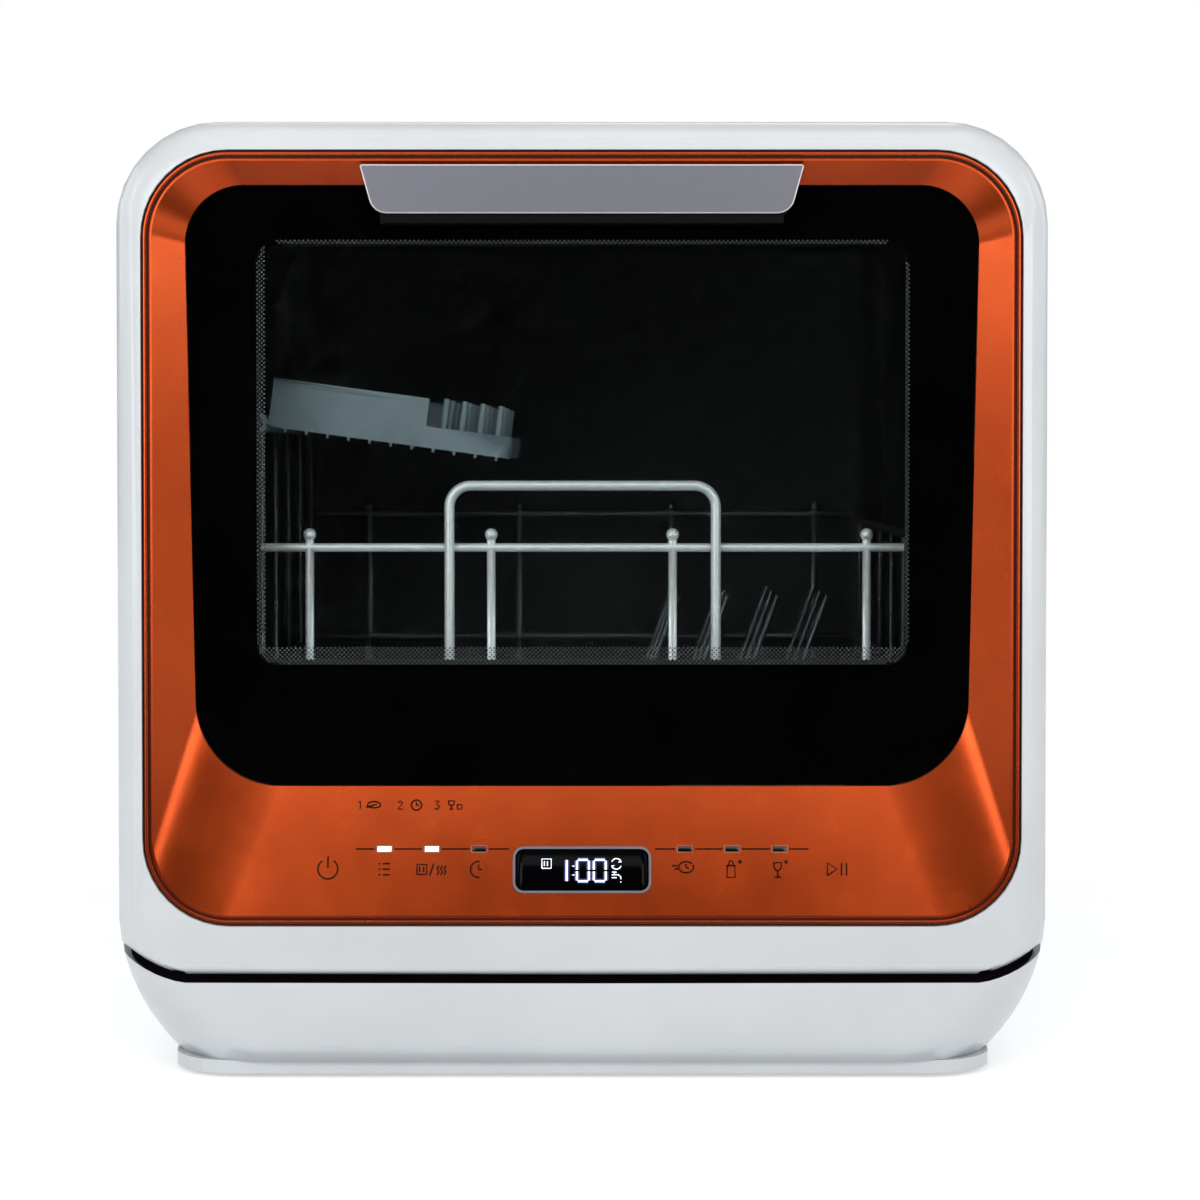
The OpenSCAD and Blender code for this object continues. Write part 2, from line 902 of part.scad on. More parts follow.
module fill_collar() {
    x0 = fill_x - collar_w / 2;
    x1 = fill_x + collar_w / 2;
    rim = 4;
    color(white)
        difference() {
            box([x0, fill_y - collar_front, cover_floor_z - 3], [x1, fill_y + collar_back, body_h - 0.2]);
            box(
                [x0 + rim, fill_y - collar_front + rim, cover_floor_z],
                [x1 - rim, cover_axis_y + 3, body_h + cut]
            );
            bar_z(cover_floor_z - 5, body_h, fill_bore_r, fill_x, fill_y);
            bar_x(x0 + 1, x1 - 1, cover_pin_r + fit, cover_axis_y, cover_axis_z);
        }
}

module fill_cover() {
    gap = 4.4;
    x0 = fill_x - collar_w / 2 + gap;
    x1 = fill_x + collar_w / 2 - gap;
    color(white) {
        difference() {
            box([x0, fill_y - collar_front + gap, body_h - cover_t], [x1, cover_axis_y, body_h]);
            box(
                [x0 + 14, fill_y - collar_front + gap - cut, body_h - 1.2],
                [x1 - 14, fill_y - collar_front + 10, body_h + cut]
            );
        }
        bar_x(x0, x1, cover_barrel_r, cover_axis_y, cover_axis_z);
        bar_x(x0 - gap + 1.5, x1 + gap - 1.5, cover_pin_r, cover_axis_y, cover_axis_z);
    }
}

module fan_housing() {
    low = tub_top + tub_wall;
    color(grey) {
        difference() {
            bar_z(low, low + fan_h, fan_r, fan_x, fan_y);
            bar_z(low + 2, low + fan_h + cut, fan_r - 3, fan_x, fan_y);
        }
        bar_z(low, low + fan_h - 3, 2, fan_x, fan_y);
    }
}

module fan_wheel() {
    low = tub_top + tub_wall + 3;
    color(black)
        translate([fan_x, fan_y, low])
            difference() {
                union() {
                    cylinder(r = fan_r - 5, h = 2);
                    cylinder(r = fan_hub_r, h = fan_h - fan_head_room);
                    for (a = [0:30:330])
                        rotate([0, 0, a])
                            translate([fan_r - blade_inset, -blade_t / 2, 0])
                                cube([blade_len, blade_t, fan_h - fan_head_room]);
                }
                translate([0, 0, -cut])
                    cylinder(r = 2 + fit, h = far);
            }
}

// A moulded pocket let into the back panel, open to the back.
module port_pocket(span) {
    low = port_z - port_half;
    high = port_z + port_half;
    difference() {
        box([span[0], port_y - port_wall, low], [span[1], back_y - 0.5, high]);
        box(
            [span[0] + port_wall, port_y, low + port_wall],
            [span[1] - port_wall, back_y + cut, high - port_wall]
        );
    }
}

module hose_ports() {
    end_y = back_y - 1;
    color(steel)
        difference() {
            union() {
                port_pocket(inlet_span);
                bar_y(port_y - 1, port_y + 4, inlet_r + 4, inlet_x, port_z);
                bar_y(port_y - 1, end_y, inlet_r, inlet_x, port_z);
                bar_y(port_y - 1, port_y + 4, drain_r + 4, drain_x, port_z);
                bar_y(port_y - 1, end_y, drain_r, drain_x, port_z);
            }
            bar_y(port_y + 2, end_y + cut, inlet_r - 5, inlet_x, port_z);
            bar_y(port_y + 2, end_y + cut, drain_r - 3, drain_x, port_z);
        }
}

module cord_gland() {
    color(black)
        difference() {
            union() {
                port_pocket(gland_span);
                bar_y(port_y - 1, port_y + 4, gland_flange_r, gland_x, port_z);
                bar_y(port_y - 1, back_y - 3, gland_r, gland_x, port_z);
            }
            bar_y(port_y + 2, back_y, gland_bore_r, gland_x, port_z);
        }
}

// ---- Door ----

// The surround's outline, drawn in by a margin.
module surround_outline(inset) {
    translate([0, (surround_bottom + surround_top) / 2])
        polygon(rounded_box(
            2 * (surround_half - inset), surround_top - surround_bottom - 2 * inset, surround_r - inset, 10
        ));
}

// One knuckle of the door's hinge, reaching down to the rolled underside.
module knuckle(x0) {
    bar_x(x0, x0 + knuckle_t, knuckle_r, hinge_y, hinge_z);
    intersection() {
        box([x0, hinge_y - 7, hinge_z - roll_r], [x0 + knuckle_t, hinge_y + 7, hinge_z]);
        roll(-wall);
    }
}

module door_frame() {
    slot_half = arm_t / 2 + arm_slot + 0.6;
    color(white)
        difference() {
            intersection() {
                casing_form(0);
                door_space(door_back_y, hinge_z, 0);
            }
            intersection() {
                casing_form(wall);
                door_space(far, hinge_z, -wall);
            }
            plate(-far, front_y + wall + 0.5)
                surround_outline(0);
            both_sides()
                box(
                    [hinge_arm_x - slot_half, hinge_y - arm_bar_h - 3, 0],
                    [hinge_arm_x + slot_half, far, hinge_z]
                );
        }
}

module hinge_knuckles() {
    color(grey)
        both_sides()
            for (x = [
                hinge_arm_x - arm_t / 2 - knuckle_gap - knuckle_t, hinge_arm_x + arm_t / 2 + knuckle_gap
            ])
                difference() {
                    knuckle(x);
                    bar_x(x - cut, x + knuckle_t + cut, hinge_pin_r, hinge_y, hinge_z);
                }
}

// Things set on the sloping control panel: X stays, Y runs up the slope, Z stands off it.
module on_panel(x, z) {
    translate([x, face_low_y + (z - face_low_z) * tan(panel_tilt), z])
        rotate([90 - panel_tilt, 0, 0])
            children();
}

module each_light() {
    for (side = [-1, 1], i = [0:2])
        on_panel(side * (lights_x + i * lights_pitch), lights_z)
            children();
}

module door_surround() {
    color(orange)
        difference() {
            hull() {
                plate(rim_y, rim_y + surround_wall)
                    surround_outline(0);
                plate(glass_y + glass_t - 1, glass_y + glass_t)
                    polygon(glass_outline(surround_wall));
            }
            plate(-far, face_low_y)
                surround_outline(bead_w + 0.7);
            hull() {
                plate(face_low_y - slice, face_low_y)
                    surround_outline(bead_w + 0.7);
                plate(glass_y, glass_y + slice)
                    polygon(glass_outline(0));
            }
            plate(glass_y, far)
                polygon(glass_outline(0));
            on_panel(0, display_z)
                linear_extrude(20, center = true)
                    polygon(rounded_box(display_w, display_h, display_r));
            each_light()
                cube([light_w, light_h, 20], center = true);
        }
}

module door_glass() {
    color(black)
        plate(glass_y, glass_y + glass_t)
            polygon(glass_outline(0));
}

module handle_plate() {
    color(steel)
        plate(handle_y, handle_y + handle_t)
            polygon(trapezium(
                handle_w / 2 - handle_h * tan(handle_slope), handle_w / 2, handle_top - handle_h, handle_top,
                handle_corner_r, 1
            ));
}

module handle_grip() {
    low = handle_top - handle_h - grip_drop;
    color(black)
        difference() {
            box([-grip_half, grip_y, low], [grip_half, glass_y, glass_top - 1]);
            box(
                [grip_wall - grip_half, grip_y + grip_wall, low - cut],
                [grip_half - grip_wall, glass_y - grip_wall / 2, glass_top - 1 - grip_wall]
            );
        }
}

module display_frame() {
    color(steel)
        on_panel(0, display_z)
            translate([0, 0, -panel_depth])
                linear_extrude(panel_depth + 0.6)
                    difference() {
                        polygon(rounded_box(display_w, display_h, display_r));
                        polygon(rounded_box(
                            display_w - 2 * display_rim, display_h - 2 * display_rim, display_r - display_rim
                        ));
                    }
}

module display_lens() {
    color(black)
        on_panel(0, display_z)
            translate([0, 0, -panel_depth])
                linear_extrude(panel_depth + 0.1)
                    polygon(rounded_box(
                        display_w - 2 * display_rim, display_h - 2 * display_rim, display_r - display_rim
                    ));
}

module indicator_lights() {
    color("#f4f8ff")
        each_light()
            translate([0, 0, -panel_depth / 2])
                cube([light_w, light_h, panel_depth], center = true);
}

module control_board() {
    board_w = 2 * (lights_x + 2 * lights_pitch) + 70;
    board_t = 1.6;
    color("#2f5a3c")
        on_panel(0, display_z)
            translate([-board_w / 2, -15, -panel_depth - board_t]) {
                cube([board_w, 30, board_t]);
                translate([20, 4, -6])
                    cube([24, 16, 6]);
                translate([board_w - 60, 4, -8])
                    cube([30, 12, 8]);
            }
}

module inner_door_panel() {
    color(steel)
        difference() {
            intersection() {
                casing_form(wall);
                box([-far, panel_y, hinge_z], [far, door_back_y, far]);
            }
            translate([0, 0, window_mid])
                plate(panel_y - cut, door_back_y + cut)
                    polygon(rounded_box(inner_glass_w - 10, inner_glass_h - 10, 9));
            box(
                [dispenser_x - dispenser_w / 2, panel_y - cut, dispenser_z - dispenser_h / 2],
                [dispenser_x + dispenser_w / 2, door_back_y + cut, dispenser_z + dispenser_h / 2]
            );
        }
}

module inner_glass() {
    color("#2a2f33")
        translate([0, 0, window_mid])
            plate(panel_y - inner_glass_t, panel_y)
                polygon(rounded_box(inner_glass_w, inner_glass_h, 9));
}

module inner_glass_seal() {
    color(black)
        translate([0, 0, window_mid])
            plate(panel_y - inner_glass_t, panel_y)
                difference() {
                    polygon(rounded_box(inner_glass_w + 2 * seal_w, inner_glass_h + 2 * seal_w, 9 + seal_w));
                    polygon(rounded_box(inner_glass_w, inner_glass_h, 9));
                }
}

module hinge_pins() {
    color(steel)
        both_sides()
            bar_x(
                hinge_arm_x - arm_t / 2 - knuckle_gap - knuckle_t - 1.5,
                hinge_arm_x + arm_t / 2 + knuckle_gap + knuckle_t + 1.5,
                hinge_pin_r, hinge_y, hinge_z
            );
}

module latch_striker() {
    color(steel) {
        box(
            [-striker_half, door_back_y, latch_z - striker_t / 2],
            [striker_half, door_back_y + striker_len, latch_z + striker_t / 2]
        );
        box([-11, door_back_y, latch_z - 3], [11, door_back_y + 1, latch_z + 5]);
    }
}

module dispenser_body() {
    half_lid = lid_h / 2;
    x0 = dispenser_x - dispenser_w / 2;
    x1 = dispenser_x + dispenser_w / 2;
    color(white)
        difference() {
            union() {
                box(
                    [x0, panel_y - dispenser_depth, dispenser_z - dispenser_h / 2],
                    [x1, door_back_y, dispenser_z + dispenser_h / 2]
                );
                box(
                    [x0 - 3, door_back_y, dispenser_z - dispenser_h / 2 - 3],
                    [x1 + 3, door_back_y + 1, dispenser_z + dispenser_h / 2 + 3]
                );
                for (side = [-1, 1])
                    translate([0, 0, dispenser_z])
                        scale([1, 1, side])
                            difference() {
                                box(
                                    [x0, door_back_y, half_lid - 1.5],
                                    [x1, lid_y + lid_t + 1.3, half_lid + 3]
                                );
                                box(
                                    [x0 - cut, door_back_y + 1, half_lid - 2],
                                    [x1 + cut, lid_y + lid_t + moving_gap, half_lid + moving_gap]
                                );
                            }
            }
            box(
                [x0 + 4, panel_y - dispenser_depth + 2, dispenser_z - dispenser_cup / 2],
                [x0 + 4 + dispenser_cup, door_back_y + 1 + cut, dispenser_z + dispenser_cup / 2]
            );
        }
}

module dispenser_lid() {
    x0 = dispenser_x - dispenser_w / 2 + 2;
    color(grey) {
        box(
            [x0, lid_y, dispenser_z - lid_h / 2],
            [x0 + dispenser_cup + 4, lid_y + lid_t, dispenser_z + lid_h / 2]
        );
        box([x0 + 10, lid_y, dispenser_z - 10], [x0 + 14, lid_y + lid_t + 2, dispenser_z + 10]);
    }
}

// ---- Rack ----

module post(x, y, z) {
    bar_z(rack_floor_z, z, wire_r, x, y);
    translate([x, y, z])
        sphere(r = wire_r + 1);
}

module cross_wires(y, zs) {
    inner = rack_half - wire_r;
    for (z = zs)
        bar_x(-inner, inner, wire_r, y, z);
}

module rack_floor() {
    inner = rack_half - wire_r;
    color(steel) {
        for (x = [-4:4])
            bar_y(rack_y + wire_r, rack_back_y - wire_r, wire_r, x * floor_pitch, rack_floor_z);
        for (y = floor_rows)
            bar_x(-inner, inner, wire_r, y, rack_floor_z);
    }
}

module rack_front() {
    color(steel) {
        cross_wires(rack_y, [rack_floor_z, rack_mid_z, rack_front_z]);
        for (x = post_xs)
            post(x, rack_y, rack_front_z + 6);
    }
}

module rack_back() {
    color(steel) {
        cross_wires(rack_back_y, [rack_floor_z, rack_mid_z, rack_rim_z + 4]);
        for (x = [-121, -37, 48, 128])
            post(x, rack_back_y, rack_rim_z + 8);
    }
}

// One side of the rack, for the right-hand side. Its runner is a rail of its own, clipped to the wires.
module rack_side(top_z) {
    color(steel) {
        for (z = [rack_floor_z, rack_mid_z, top_z])
            bar_y(rack_y - wire_r, rack_back_y + wire_r, wire_r, rack_half, z);
        for (y = side_wires)
            bar_z(rack_floor_z, top_z, wire_r, rack_half, y);
        box(
            [rack_half + wire_r + clip_gap, rack_y, runner_z],
            [roller_x + 3, rack_back_y, runner_z + runner_h]
        );
    }
}

module rack_left() {
    mirror([1, 0, 0])
        rack_side(tray_wire_z);
}

module rack_right() {
    rack_side(rack_rim_z);
}

module rack_handle() {
    bar_r = wire_r + 0.35;
    bend = 10;
    leg_x = rack_handle_w / 2;
    y = rack_y - wire_r - bar_r;
    color(steel) {
        both_sides() {
            bar_z(rack_floor_z - wire_r, rack_handle_z - bar_r - bend, bar_r, leg_x, y);
            translate([leg_x - bend, y, rack_handle_z - bar_r - bend])
                rotate([90, 0, 0])
                    rotate_extrude(angle = 90)
                        translate([bend, 0])
                            circle(bar_r);
        }
        bar_x(bend - leg_x, leg_x - bend, bar_r, y, rack_handle_z - bar_r);
    }
}

module plate_tines() {
    tine_r = 1.5;
    tine_lean = 20;
    tine_len = 66;
    tine_pitch = 24.5;
    base_z = rack_floor_z + wire_r + tine_r;
    color(steel)
        for (y = [floor_rows[1] + 8, floor_rows[2] + 8, floor_rows[3] + 8]) {
            bar_x(16, rack_half - 24, tine_r, y, base_z);
            for (i = [0:3])
                translate([24 + i * tine_pitch, y, base_z])
                    rotate([0, tine_lean, 0])
                        cylinder(r = tine_r, h = tine_len);
        }
}

module tray_frame() {
    translate([-rack_half, 0, tray_wire_z])
        rotate([0, tray_slope, 0])
            children();
}

module cutlery_tray() {
    y0 = tray_front_y;
    y1 = tray_front_y + tray_len;
    start = wire_r + 2.4;
    step_x = tray_reach * 0.66;
    rim_t = 2;
    clip_r = wire_r + 2.4;
    slot_pitch = 16;
    lip = 1;
    tooth_t = 1.2;
    tooth_h = 1.8;
    prong_r = 1.4;
    prong_pitch = 8.6;
    row_pitch = 54;
    color("#75828a")
        tray_frame()
            difference() {
                union() {
                    box([0, y0, -tray_floor_t / 2], [tray_reach, y1, tray_floor_t / 2]);
                    for (y = [y0, y1 - rim_t]) {
                        box([start, y, 0], [step_x, y + rim_t, tray_rim_h]);
                        box([step_x, y, 0], [tray_reach, y + rim_t, tray_low_rim_h]);
                        box([start, y - lip, tray_rim_h - 2], [step_x, y + rim_t + lip, tray_rim_h]);
                        for (x = [12:10:tray_reach - 6])
                            box([x, y, -tray_floor_t / 2 - tooth_h], [x + tooth_t, y + rim_t, 0]);
                    }
                    box([start, y0, 0], [start + rim_t, y1, tray_rim_h]);
                    box([tray_reach - rim_t, y0, 0], [tray_reach, y1, tray_low_rim_h]);
                    for (x = [step_x + 8:prong_pitch:tray_reach - 6], y = [y0 + 6:row_pitch:y1 - 4])
                        bar_z(0, tray_rim_h + 1, prong_r, x, y);
                    bar_y(y0, y1, clip_r, 0, 0);
                }
                bar_y(y0 - cut, y1 + cut, wire_r + fit, 0, 0);
                for (y = side_wires)
                    box([-clip_r - cut, y - wire_r - 2, -30], [start - 0.4, y + wire_r + 2, 8]);
                for (x = [start + 8:14:step_x - 8], y = [y0 + 10:slot_pitch:y1 - slot_pitch])
                    box([x, y, -3], [x + 9, y + slot_pitch - 5, 3]);
            }
}

// ---- All sub-parts ----

foot_pads();
plinth();
base_tray();
cabinet_shell();
back_panel();
back_screws();
screw_posts();
front_frame();
hinge_trough();
hinge_arm_left();
hinge_arm_right();
tub();
tub_gasket();
coarse_filter();
filter_cup();
spray_hub();
spray_arm();
roller_axles();
roller_front_left();
roller_front_right();
roller_rear_left();
roller_rear_right();
latch_housing();
latch_bolt();
wash_pump();
wash_impeller();
drain_pump();
drain_impeller();
water_tank();
fill_collar();
fill_cover();
fan_housing();
fan_wheel();
hose_ports();
cord_gland();
door_frame();
door_surround();
door_glass();
handle_plate();
handle_grip();
display_frame();
display_lens();
indicator_lights();
control_board();
inner_door_panel();
inner_glass();
inner_glass_seal();
hinge_knuckles();
hinge_pins();
latch_striker();
dispenser_body();
dispenser_lid();
rack_floor();
rack_front();
rack_back();
rack_left();
rack_right();
rack_handle();
plate_tines();
cutlery_tray();
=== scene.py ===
# %% [markdown]
# # A countertop dishwasher, dressed for its portrait
#
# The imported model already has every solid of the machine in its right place. This lesson
# gives those solids their finishes, and adds what is too thin to be worth a solid: the
# print on the glass, the marks on the control panel, the digits of the display.
# The frame is loaded first, and its box is kept, because nothing added later may make
# the machine any bigger.

# %% Load the machine
import json
import math

import bmesh
import bpy
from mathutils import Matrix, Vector

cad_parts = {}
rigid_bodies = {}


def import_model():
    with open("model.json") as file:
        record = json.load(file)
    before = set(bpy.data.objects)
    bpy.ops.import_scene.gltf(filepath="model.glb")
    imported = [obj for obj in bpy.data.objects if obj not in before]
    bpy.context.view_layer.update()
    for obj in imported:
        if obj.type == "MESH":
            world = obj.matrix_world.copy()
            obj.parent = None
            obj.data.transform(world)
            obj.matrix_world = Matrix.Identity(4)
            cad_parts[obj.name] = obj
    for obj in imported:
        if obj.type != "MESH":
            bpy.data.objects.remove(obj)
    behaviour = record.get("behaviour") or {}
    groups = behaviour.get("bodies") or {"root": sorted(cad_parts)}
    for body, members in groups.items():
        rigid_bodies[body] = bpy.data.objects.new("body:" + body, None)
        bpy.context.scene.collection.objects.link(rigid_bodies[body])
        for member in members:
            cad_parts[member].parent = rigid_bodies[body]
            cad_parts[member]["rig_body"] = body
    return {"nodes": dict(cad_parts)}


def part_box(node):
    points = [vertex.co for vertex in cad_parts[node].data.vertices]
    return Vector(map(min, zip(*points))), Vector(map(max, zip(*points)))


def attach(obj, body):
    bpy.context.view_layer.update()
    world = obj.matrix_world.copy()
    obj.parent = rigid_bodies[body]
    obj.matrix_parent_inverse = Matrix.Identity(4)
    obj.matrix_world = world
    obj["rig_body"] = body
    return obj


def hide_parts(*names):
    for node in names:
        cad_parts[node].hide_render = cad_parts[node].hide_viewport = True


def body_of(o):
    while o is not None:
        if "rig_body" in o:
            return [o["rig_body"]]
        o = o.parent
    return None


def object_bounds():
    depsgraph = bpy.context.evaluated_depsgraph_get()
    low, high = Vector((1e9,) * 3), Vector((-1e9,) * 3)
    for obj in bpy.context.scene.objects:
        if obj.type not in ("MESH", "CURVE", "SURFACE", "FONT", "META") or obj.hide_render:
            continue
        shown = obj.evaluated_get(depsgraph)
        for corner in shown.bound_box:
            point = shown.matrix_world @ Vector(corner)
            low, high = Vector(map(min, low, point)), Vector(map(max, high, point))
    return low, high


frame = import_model()
machine_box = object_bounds()
bpy.ops.object.select_all(action="DESELECT")
MM = 0.001
print("machine", [round((b - a) / MM) for a, b in zip(*machine_box)], "mm")

# %% [markdown]
# ## Colours, millimetres and nodes
#
# Paint charts and screens give colours as sRGB hex values, while shaders calculate with
# linear light, so one function turns the first into the second. Patterns are sized in
# millimetres: a noise of scale 1000 has one bump to each millimetre, because the scene is
# in metres. A third function adds a shader node, fills in its values and joins its
# inputs, so that a material reads as a short recipe.

# %% Colours, millimetres and nodes
def rgb(hex_value):
    """A linear colour from an sRGB hex value such as #b84a20."""
    parts = [int(hex_value[i:i + 2], 16) / 255 for i in (1, 3, 5)]
    return [*(p / 12.92 if p <= 0.04045 else ((p + 0.055) / 1.055) ** 2.4 for p in parts), 1]


def per_mm(size):
    """The scale of a texture whose bumps are that many millimetres across."""
    return 1 / (size * MM)


def add(tree, kind, inputs=(), **settings):
    """Adds a shader node. An input is set to a value, or joined where it is given a socket."""
    made = tree.nodes.new(kind)
    for name, value in settings.items():
        setattr(made, name, value)
    for name, value in dict(inputs).items():
        if isinstance(value, bpy.types.NodeSocket):
            tree.links.new(value, made.inputs[name])
        else:
            made.inputs[name].default_value = value
    return made


print("a middle grey of", round(rgb("#808080")[0], 3), "in linear light")

# %% [markdown]
# ## One recipe for a surface
#
# No real surface is even. Its colour drifts where the film or the mix is thicker, its
# shine drifts where it was touched, and a fine relief breaks up the light. The recipe
# gives each of the three a soft noise with its own size in millimetres. Such noise mostly
# keeps between 0.3 and 0.7, so that span is mapped onto the two colours, or onto the two
# roughnesses. A stretch below 1 along an axis draws the noise out, as a brush does.

# %% One recipe for a surface
NOISE_LOW, NOISE_HIGH = 0.3, 0.7


def blank(name, **sockets):
    """A new material, its node tree, and its shader with plain values set on its sockets."""
    material = bpy.data.materials.new(name)
    material.use_nodes = True
    shader = material.node_tree.nodes["Principled BSDF"]
    for socket, value in sockets.items():
        shader.inputs[socket.replace("_", " ")].default_value = value
    return material, material.node_tree, shader


def surface(name, tone, rough, relief, stretch=(1, 1, 1), detail=2, **sockets):
    """A material from a tone (size, two colours), a roughness (size, two values) and a
    relief (size, depth). Sizes and the depth are in millimetres."""
    material, tree, shader = blank(name, **sockets)
    where = add(tree, "ShaderNodeTexCoord").outputs["Object"]
    placed = add(tree, "ShaderNodeMapping", {"Vector": where, "Scale": stretch}).outputs[0]
    drift, touch, height = [
        add(tree, "ShaderNodeTexNoise", {
            "Vector": placed, "Scale": per_mm(size), "Detail": detail,
        }).outputs["Fac"]
        for size in (tone[0], rough[0], relief[0])
    ]
    share, dullness = [
        add(tree, "ShaderNodeMapRange", {
            "Value": noise, "From Min": NOISE_LOW, "From Max": NOISE_HIGH,
            "To Min": low, "To Max": high,
        }).outputs[0]
        for noise, low, high in ((drift, 0, 1), (touch, rough[1], rough[2]))
    ]
    colour = add(tree, "ShaderNodeMix", {0: share, 6: tone[1], 7: tone[2]}, data_type="RGBA")
    normal = add(tree, "ShaderNodeBump", {
        "Height": height, "Distance": relief[1] * MM, "Strength": 1.0,
    })
    tree.links.new(colour.outputs[2], shader.inputs["Base Color"])
    tree.links.new(dullness, shader.inputs["Roughness"])
    tree.links.new(normal.outputs[0], shader.inputs["Normal"])
    return material


FINISHES = {}
print("noise is read from", NOISE_LOW, "to", NOISE_HIGH)

# %% [markdown]
# ## White casing
#
# The cabinet and the door's rim are ABS, moulded in a polished tool and sprayed white.
# Sprayed plastic is never a perfect mirror: the paint dries with a faint orange peel, and
# it is a little greyer where the film is thinner. The real peel is finer than the picture
# can show, so it is drawn coarser, 3 mm across. A thin coat gives the wet highlight.

# %% White casing
FINISHES["white_casing"] = surface(
    "sprayed_white_abs", (60, rgb("#d2d6d9"), rgb("#d8dcdf")), (25, 0.30, 0.38), (3, 0.02),
    IOR=1.5, Coat_Weight=0.25, Coat_Roughness=0.12,
)
print("made", *FINISHES)

# %% [markdown]
# ## Metallic orange
#
# The door's surround is moulded ABS with a metallic lacquer: flakes of aluminium lie in a
# clear orange base under a clear coat. Flakes make the colour bright where the surface
# faces the light and deep red-brown where it turns away, which a plain orange never does.
# The shader's Metallic gives that fall-off, and a coat gives the sharp second highlight.
# A real flake is a few hundredths of a millimetre across. Cells of 0.35 mm stand for
# flakes, as the finest speckle that the picture can show, and few of them are pale.

# %% Metallic orange
FLAKE_SIZE, FLAKE_SHARE = 0.35, 0.12
lacquer = surface(
    "metallic_orange_lacquer", (35, rgb("#c0440e"), rgb("#c84a12")), (20, 0.24, 0.28), (0.6, 0.001),
    Metallic=0.85, Coat_Weight=0.15, Coat_Roughness=0.2,
)
tree = lacquer.node_tree
base = tree.nodes["Principled BSDF"].inputs["Base Color"]
where = add(tree, "ShaderNodeTexCoord").outputs["Object"]
flakes = add(tree, "ShaderNodeTexVoronoi", {"Vector": where, "Scale": per_mm(FLAKE_SIZE)})
chance = add(tree, "ShaderNodeSeparateColor", {"Color": flakes.outputs["Color"]}).outputs[0]
pale = add(tree, "ShaderNodeMapRange", {
    "Value": chance, "From Min": NOISE_LOW, "From Max": NOISE_HIGH, "To Max": FLAKE_SHARE,
}).outputs[0]
cloud = base.links[0].from_socket
speckled = add(tree, "ShaderNodeMix", {0: pale, 6: cloud, 7: rgb("#dd7640")}, data_type="RGBA")
tree.links.new(speckled.outputs[2], base)
FINISHES["orange"] = lacquer
print("flakes of", FLAKE_SIZE, "mm")

# %% [markdown]
# ## Glass
#
# The outer pane is tempered soda-lime glass with a very slight wave from the rollers that
# carried it through the oven. The inner pane is the same and has some dried water
# spots, which only dull it a little. The tint is a plain value on the shader's own socket,
# because it is the same all over.

# %% Glass
WAVE_SIZE, WAVE_DEPTH, SPOT_SIZE = 90, 0.004, 7


def clear_glass(name, tint, spots):
    """Clear glass with a slow wave, as dull as spots where water dried on it."""
    material, tree, shader = blank(name, Base_Color=rgb(tint), IOR=1.5, Transmission_Weight=1.0)
    where = add(tree, "ShaderNodeTexCoord").outputs["Object"]
    dried = add(tree, "ShaderNodeTexNoise", {"Vector": where, "Scale": per_mm(SPOT_SIZE)})
    dullness = add(tree, "ShaderNodeMapRange", {
        "Value": dried.outputs["Fac"], "From Min": NOISE_LOW, "From Max": NOISE_HIGH,
        "To Min": 0.0, "To Max": spots,
    })
    wave = add(tree, "ShaderNodeTexNoise", {
        "Vector": where, "Scale": per_mm(WAVE_SIZE), "Detail": 0,
    })
    normal = add(tree, "ShaderNodeBump", {
        "Height": wave.outputs["Fac"], "Distance": WAVE_DEPTH * MM, "Strength": 1.0,
    })
    tree.links.new(dullness.outputs[0], shader.inputs["Roughness"])
    tree.links.new(normal.outputs[0], shader.inputs["Normal"])
    return material


FINISHES["outer_glass"] = clear_glass("tempered_glass", "#e9eeee", 0.02)
FINISHES["inner_glass"] = clear_glass("water_spotted_glass", "#eef2f1", 0.08)
print(len(FINISHES), "finishes")

# %% [markdown]
# ## Metals
#
# The handle's plate and the display's ring are anodised aluminium, brushed along X, so
# its lines are drawn out sideways. The coarse filter and the catch's striker are
# stainless steel, brushed along Y and duller. Pins, arms and screws are zinc plated. The
# front of the rack is electropolished wire, bright with small waves and no lines. The
# wires behind it, in the shade of the tub, get a darker steel colour: that is painted shade.

# %% Metals
BRUSHED_OUT, BRUSHED_DEPTH, PALER = 0.02, 0.004, 1.18


def brushed(name, hex_value, along, rough, size):
    """Metal whose lines run along an axis and are that many millimetres apart."""
    dark = rgb(hex_value)
    light = [min(1, PALER * part) for part in dark]
    stretch = [BRUSHED_OUT if axis == along else 1 for axis in "XYZ"]
    return surface(name, (size, dark, light), (size, rough - 0.05, rough + 0.07),
                   (size, BRUSHED_DEPTH), stretch, detail=4, Metallic=1.0)


FINISHES.update({
    "aluminium": brushed("brushed_anodised_aluminium", "#7d7d86", "X", 0.48, 0.3),
    "steel": brushed("brushed_stainless_steel", "#8d9092", "Y", 0.34, 0.8),
    "zinc": brushed("zinc_plated_steel", "#a7a9a8", "Z", 0.38, 1.2),
    # Painted shade: the wires behind the rack's front get a darker steel colour for the shade of
    # the tub.
    "wire_in_painted_shade": brushed("steel_wire_painted_shade", "#5c5f62", "X", 0.35, 1.0),
    "wire": surface("electropolished_steel_wire", (4, rgb("#e8e9eb"), rgb("#eff0f1")),
                    (4, 0.3, 0.42), (4, 0.01), Metallic=0.5),
})
print(len(FINISHES), "finishes")

# %% [markdown]
# ## Moulded plastics, rubber and board
#
# Polypropylene and ABS come out of a spark-eroded tool with a fine even grain, and rubber
# with a softer, duller one. One recipe serves all of them: a colour that drifts slightly
# over 30 mm, a grain in millimetres, and a roughness that drifts with the colour, because
# handling leaves smoother patches.

# %% Moulded plastics, rubber and board
DRIFT = 30


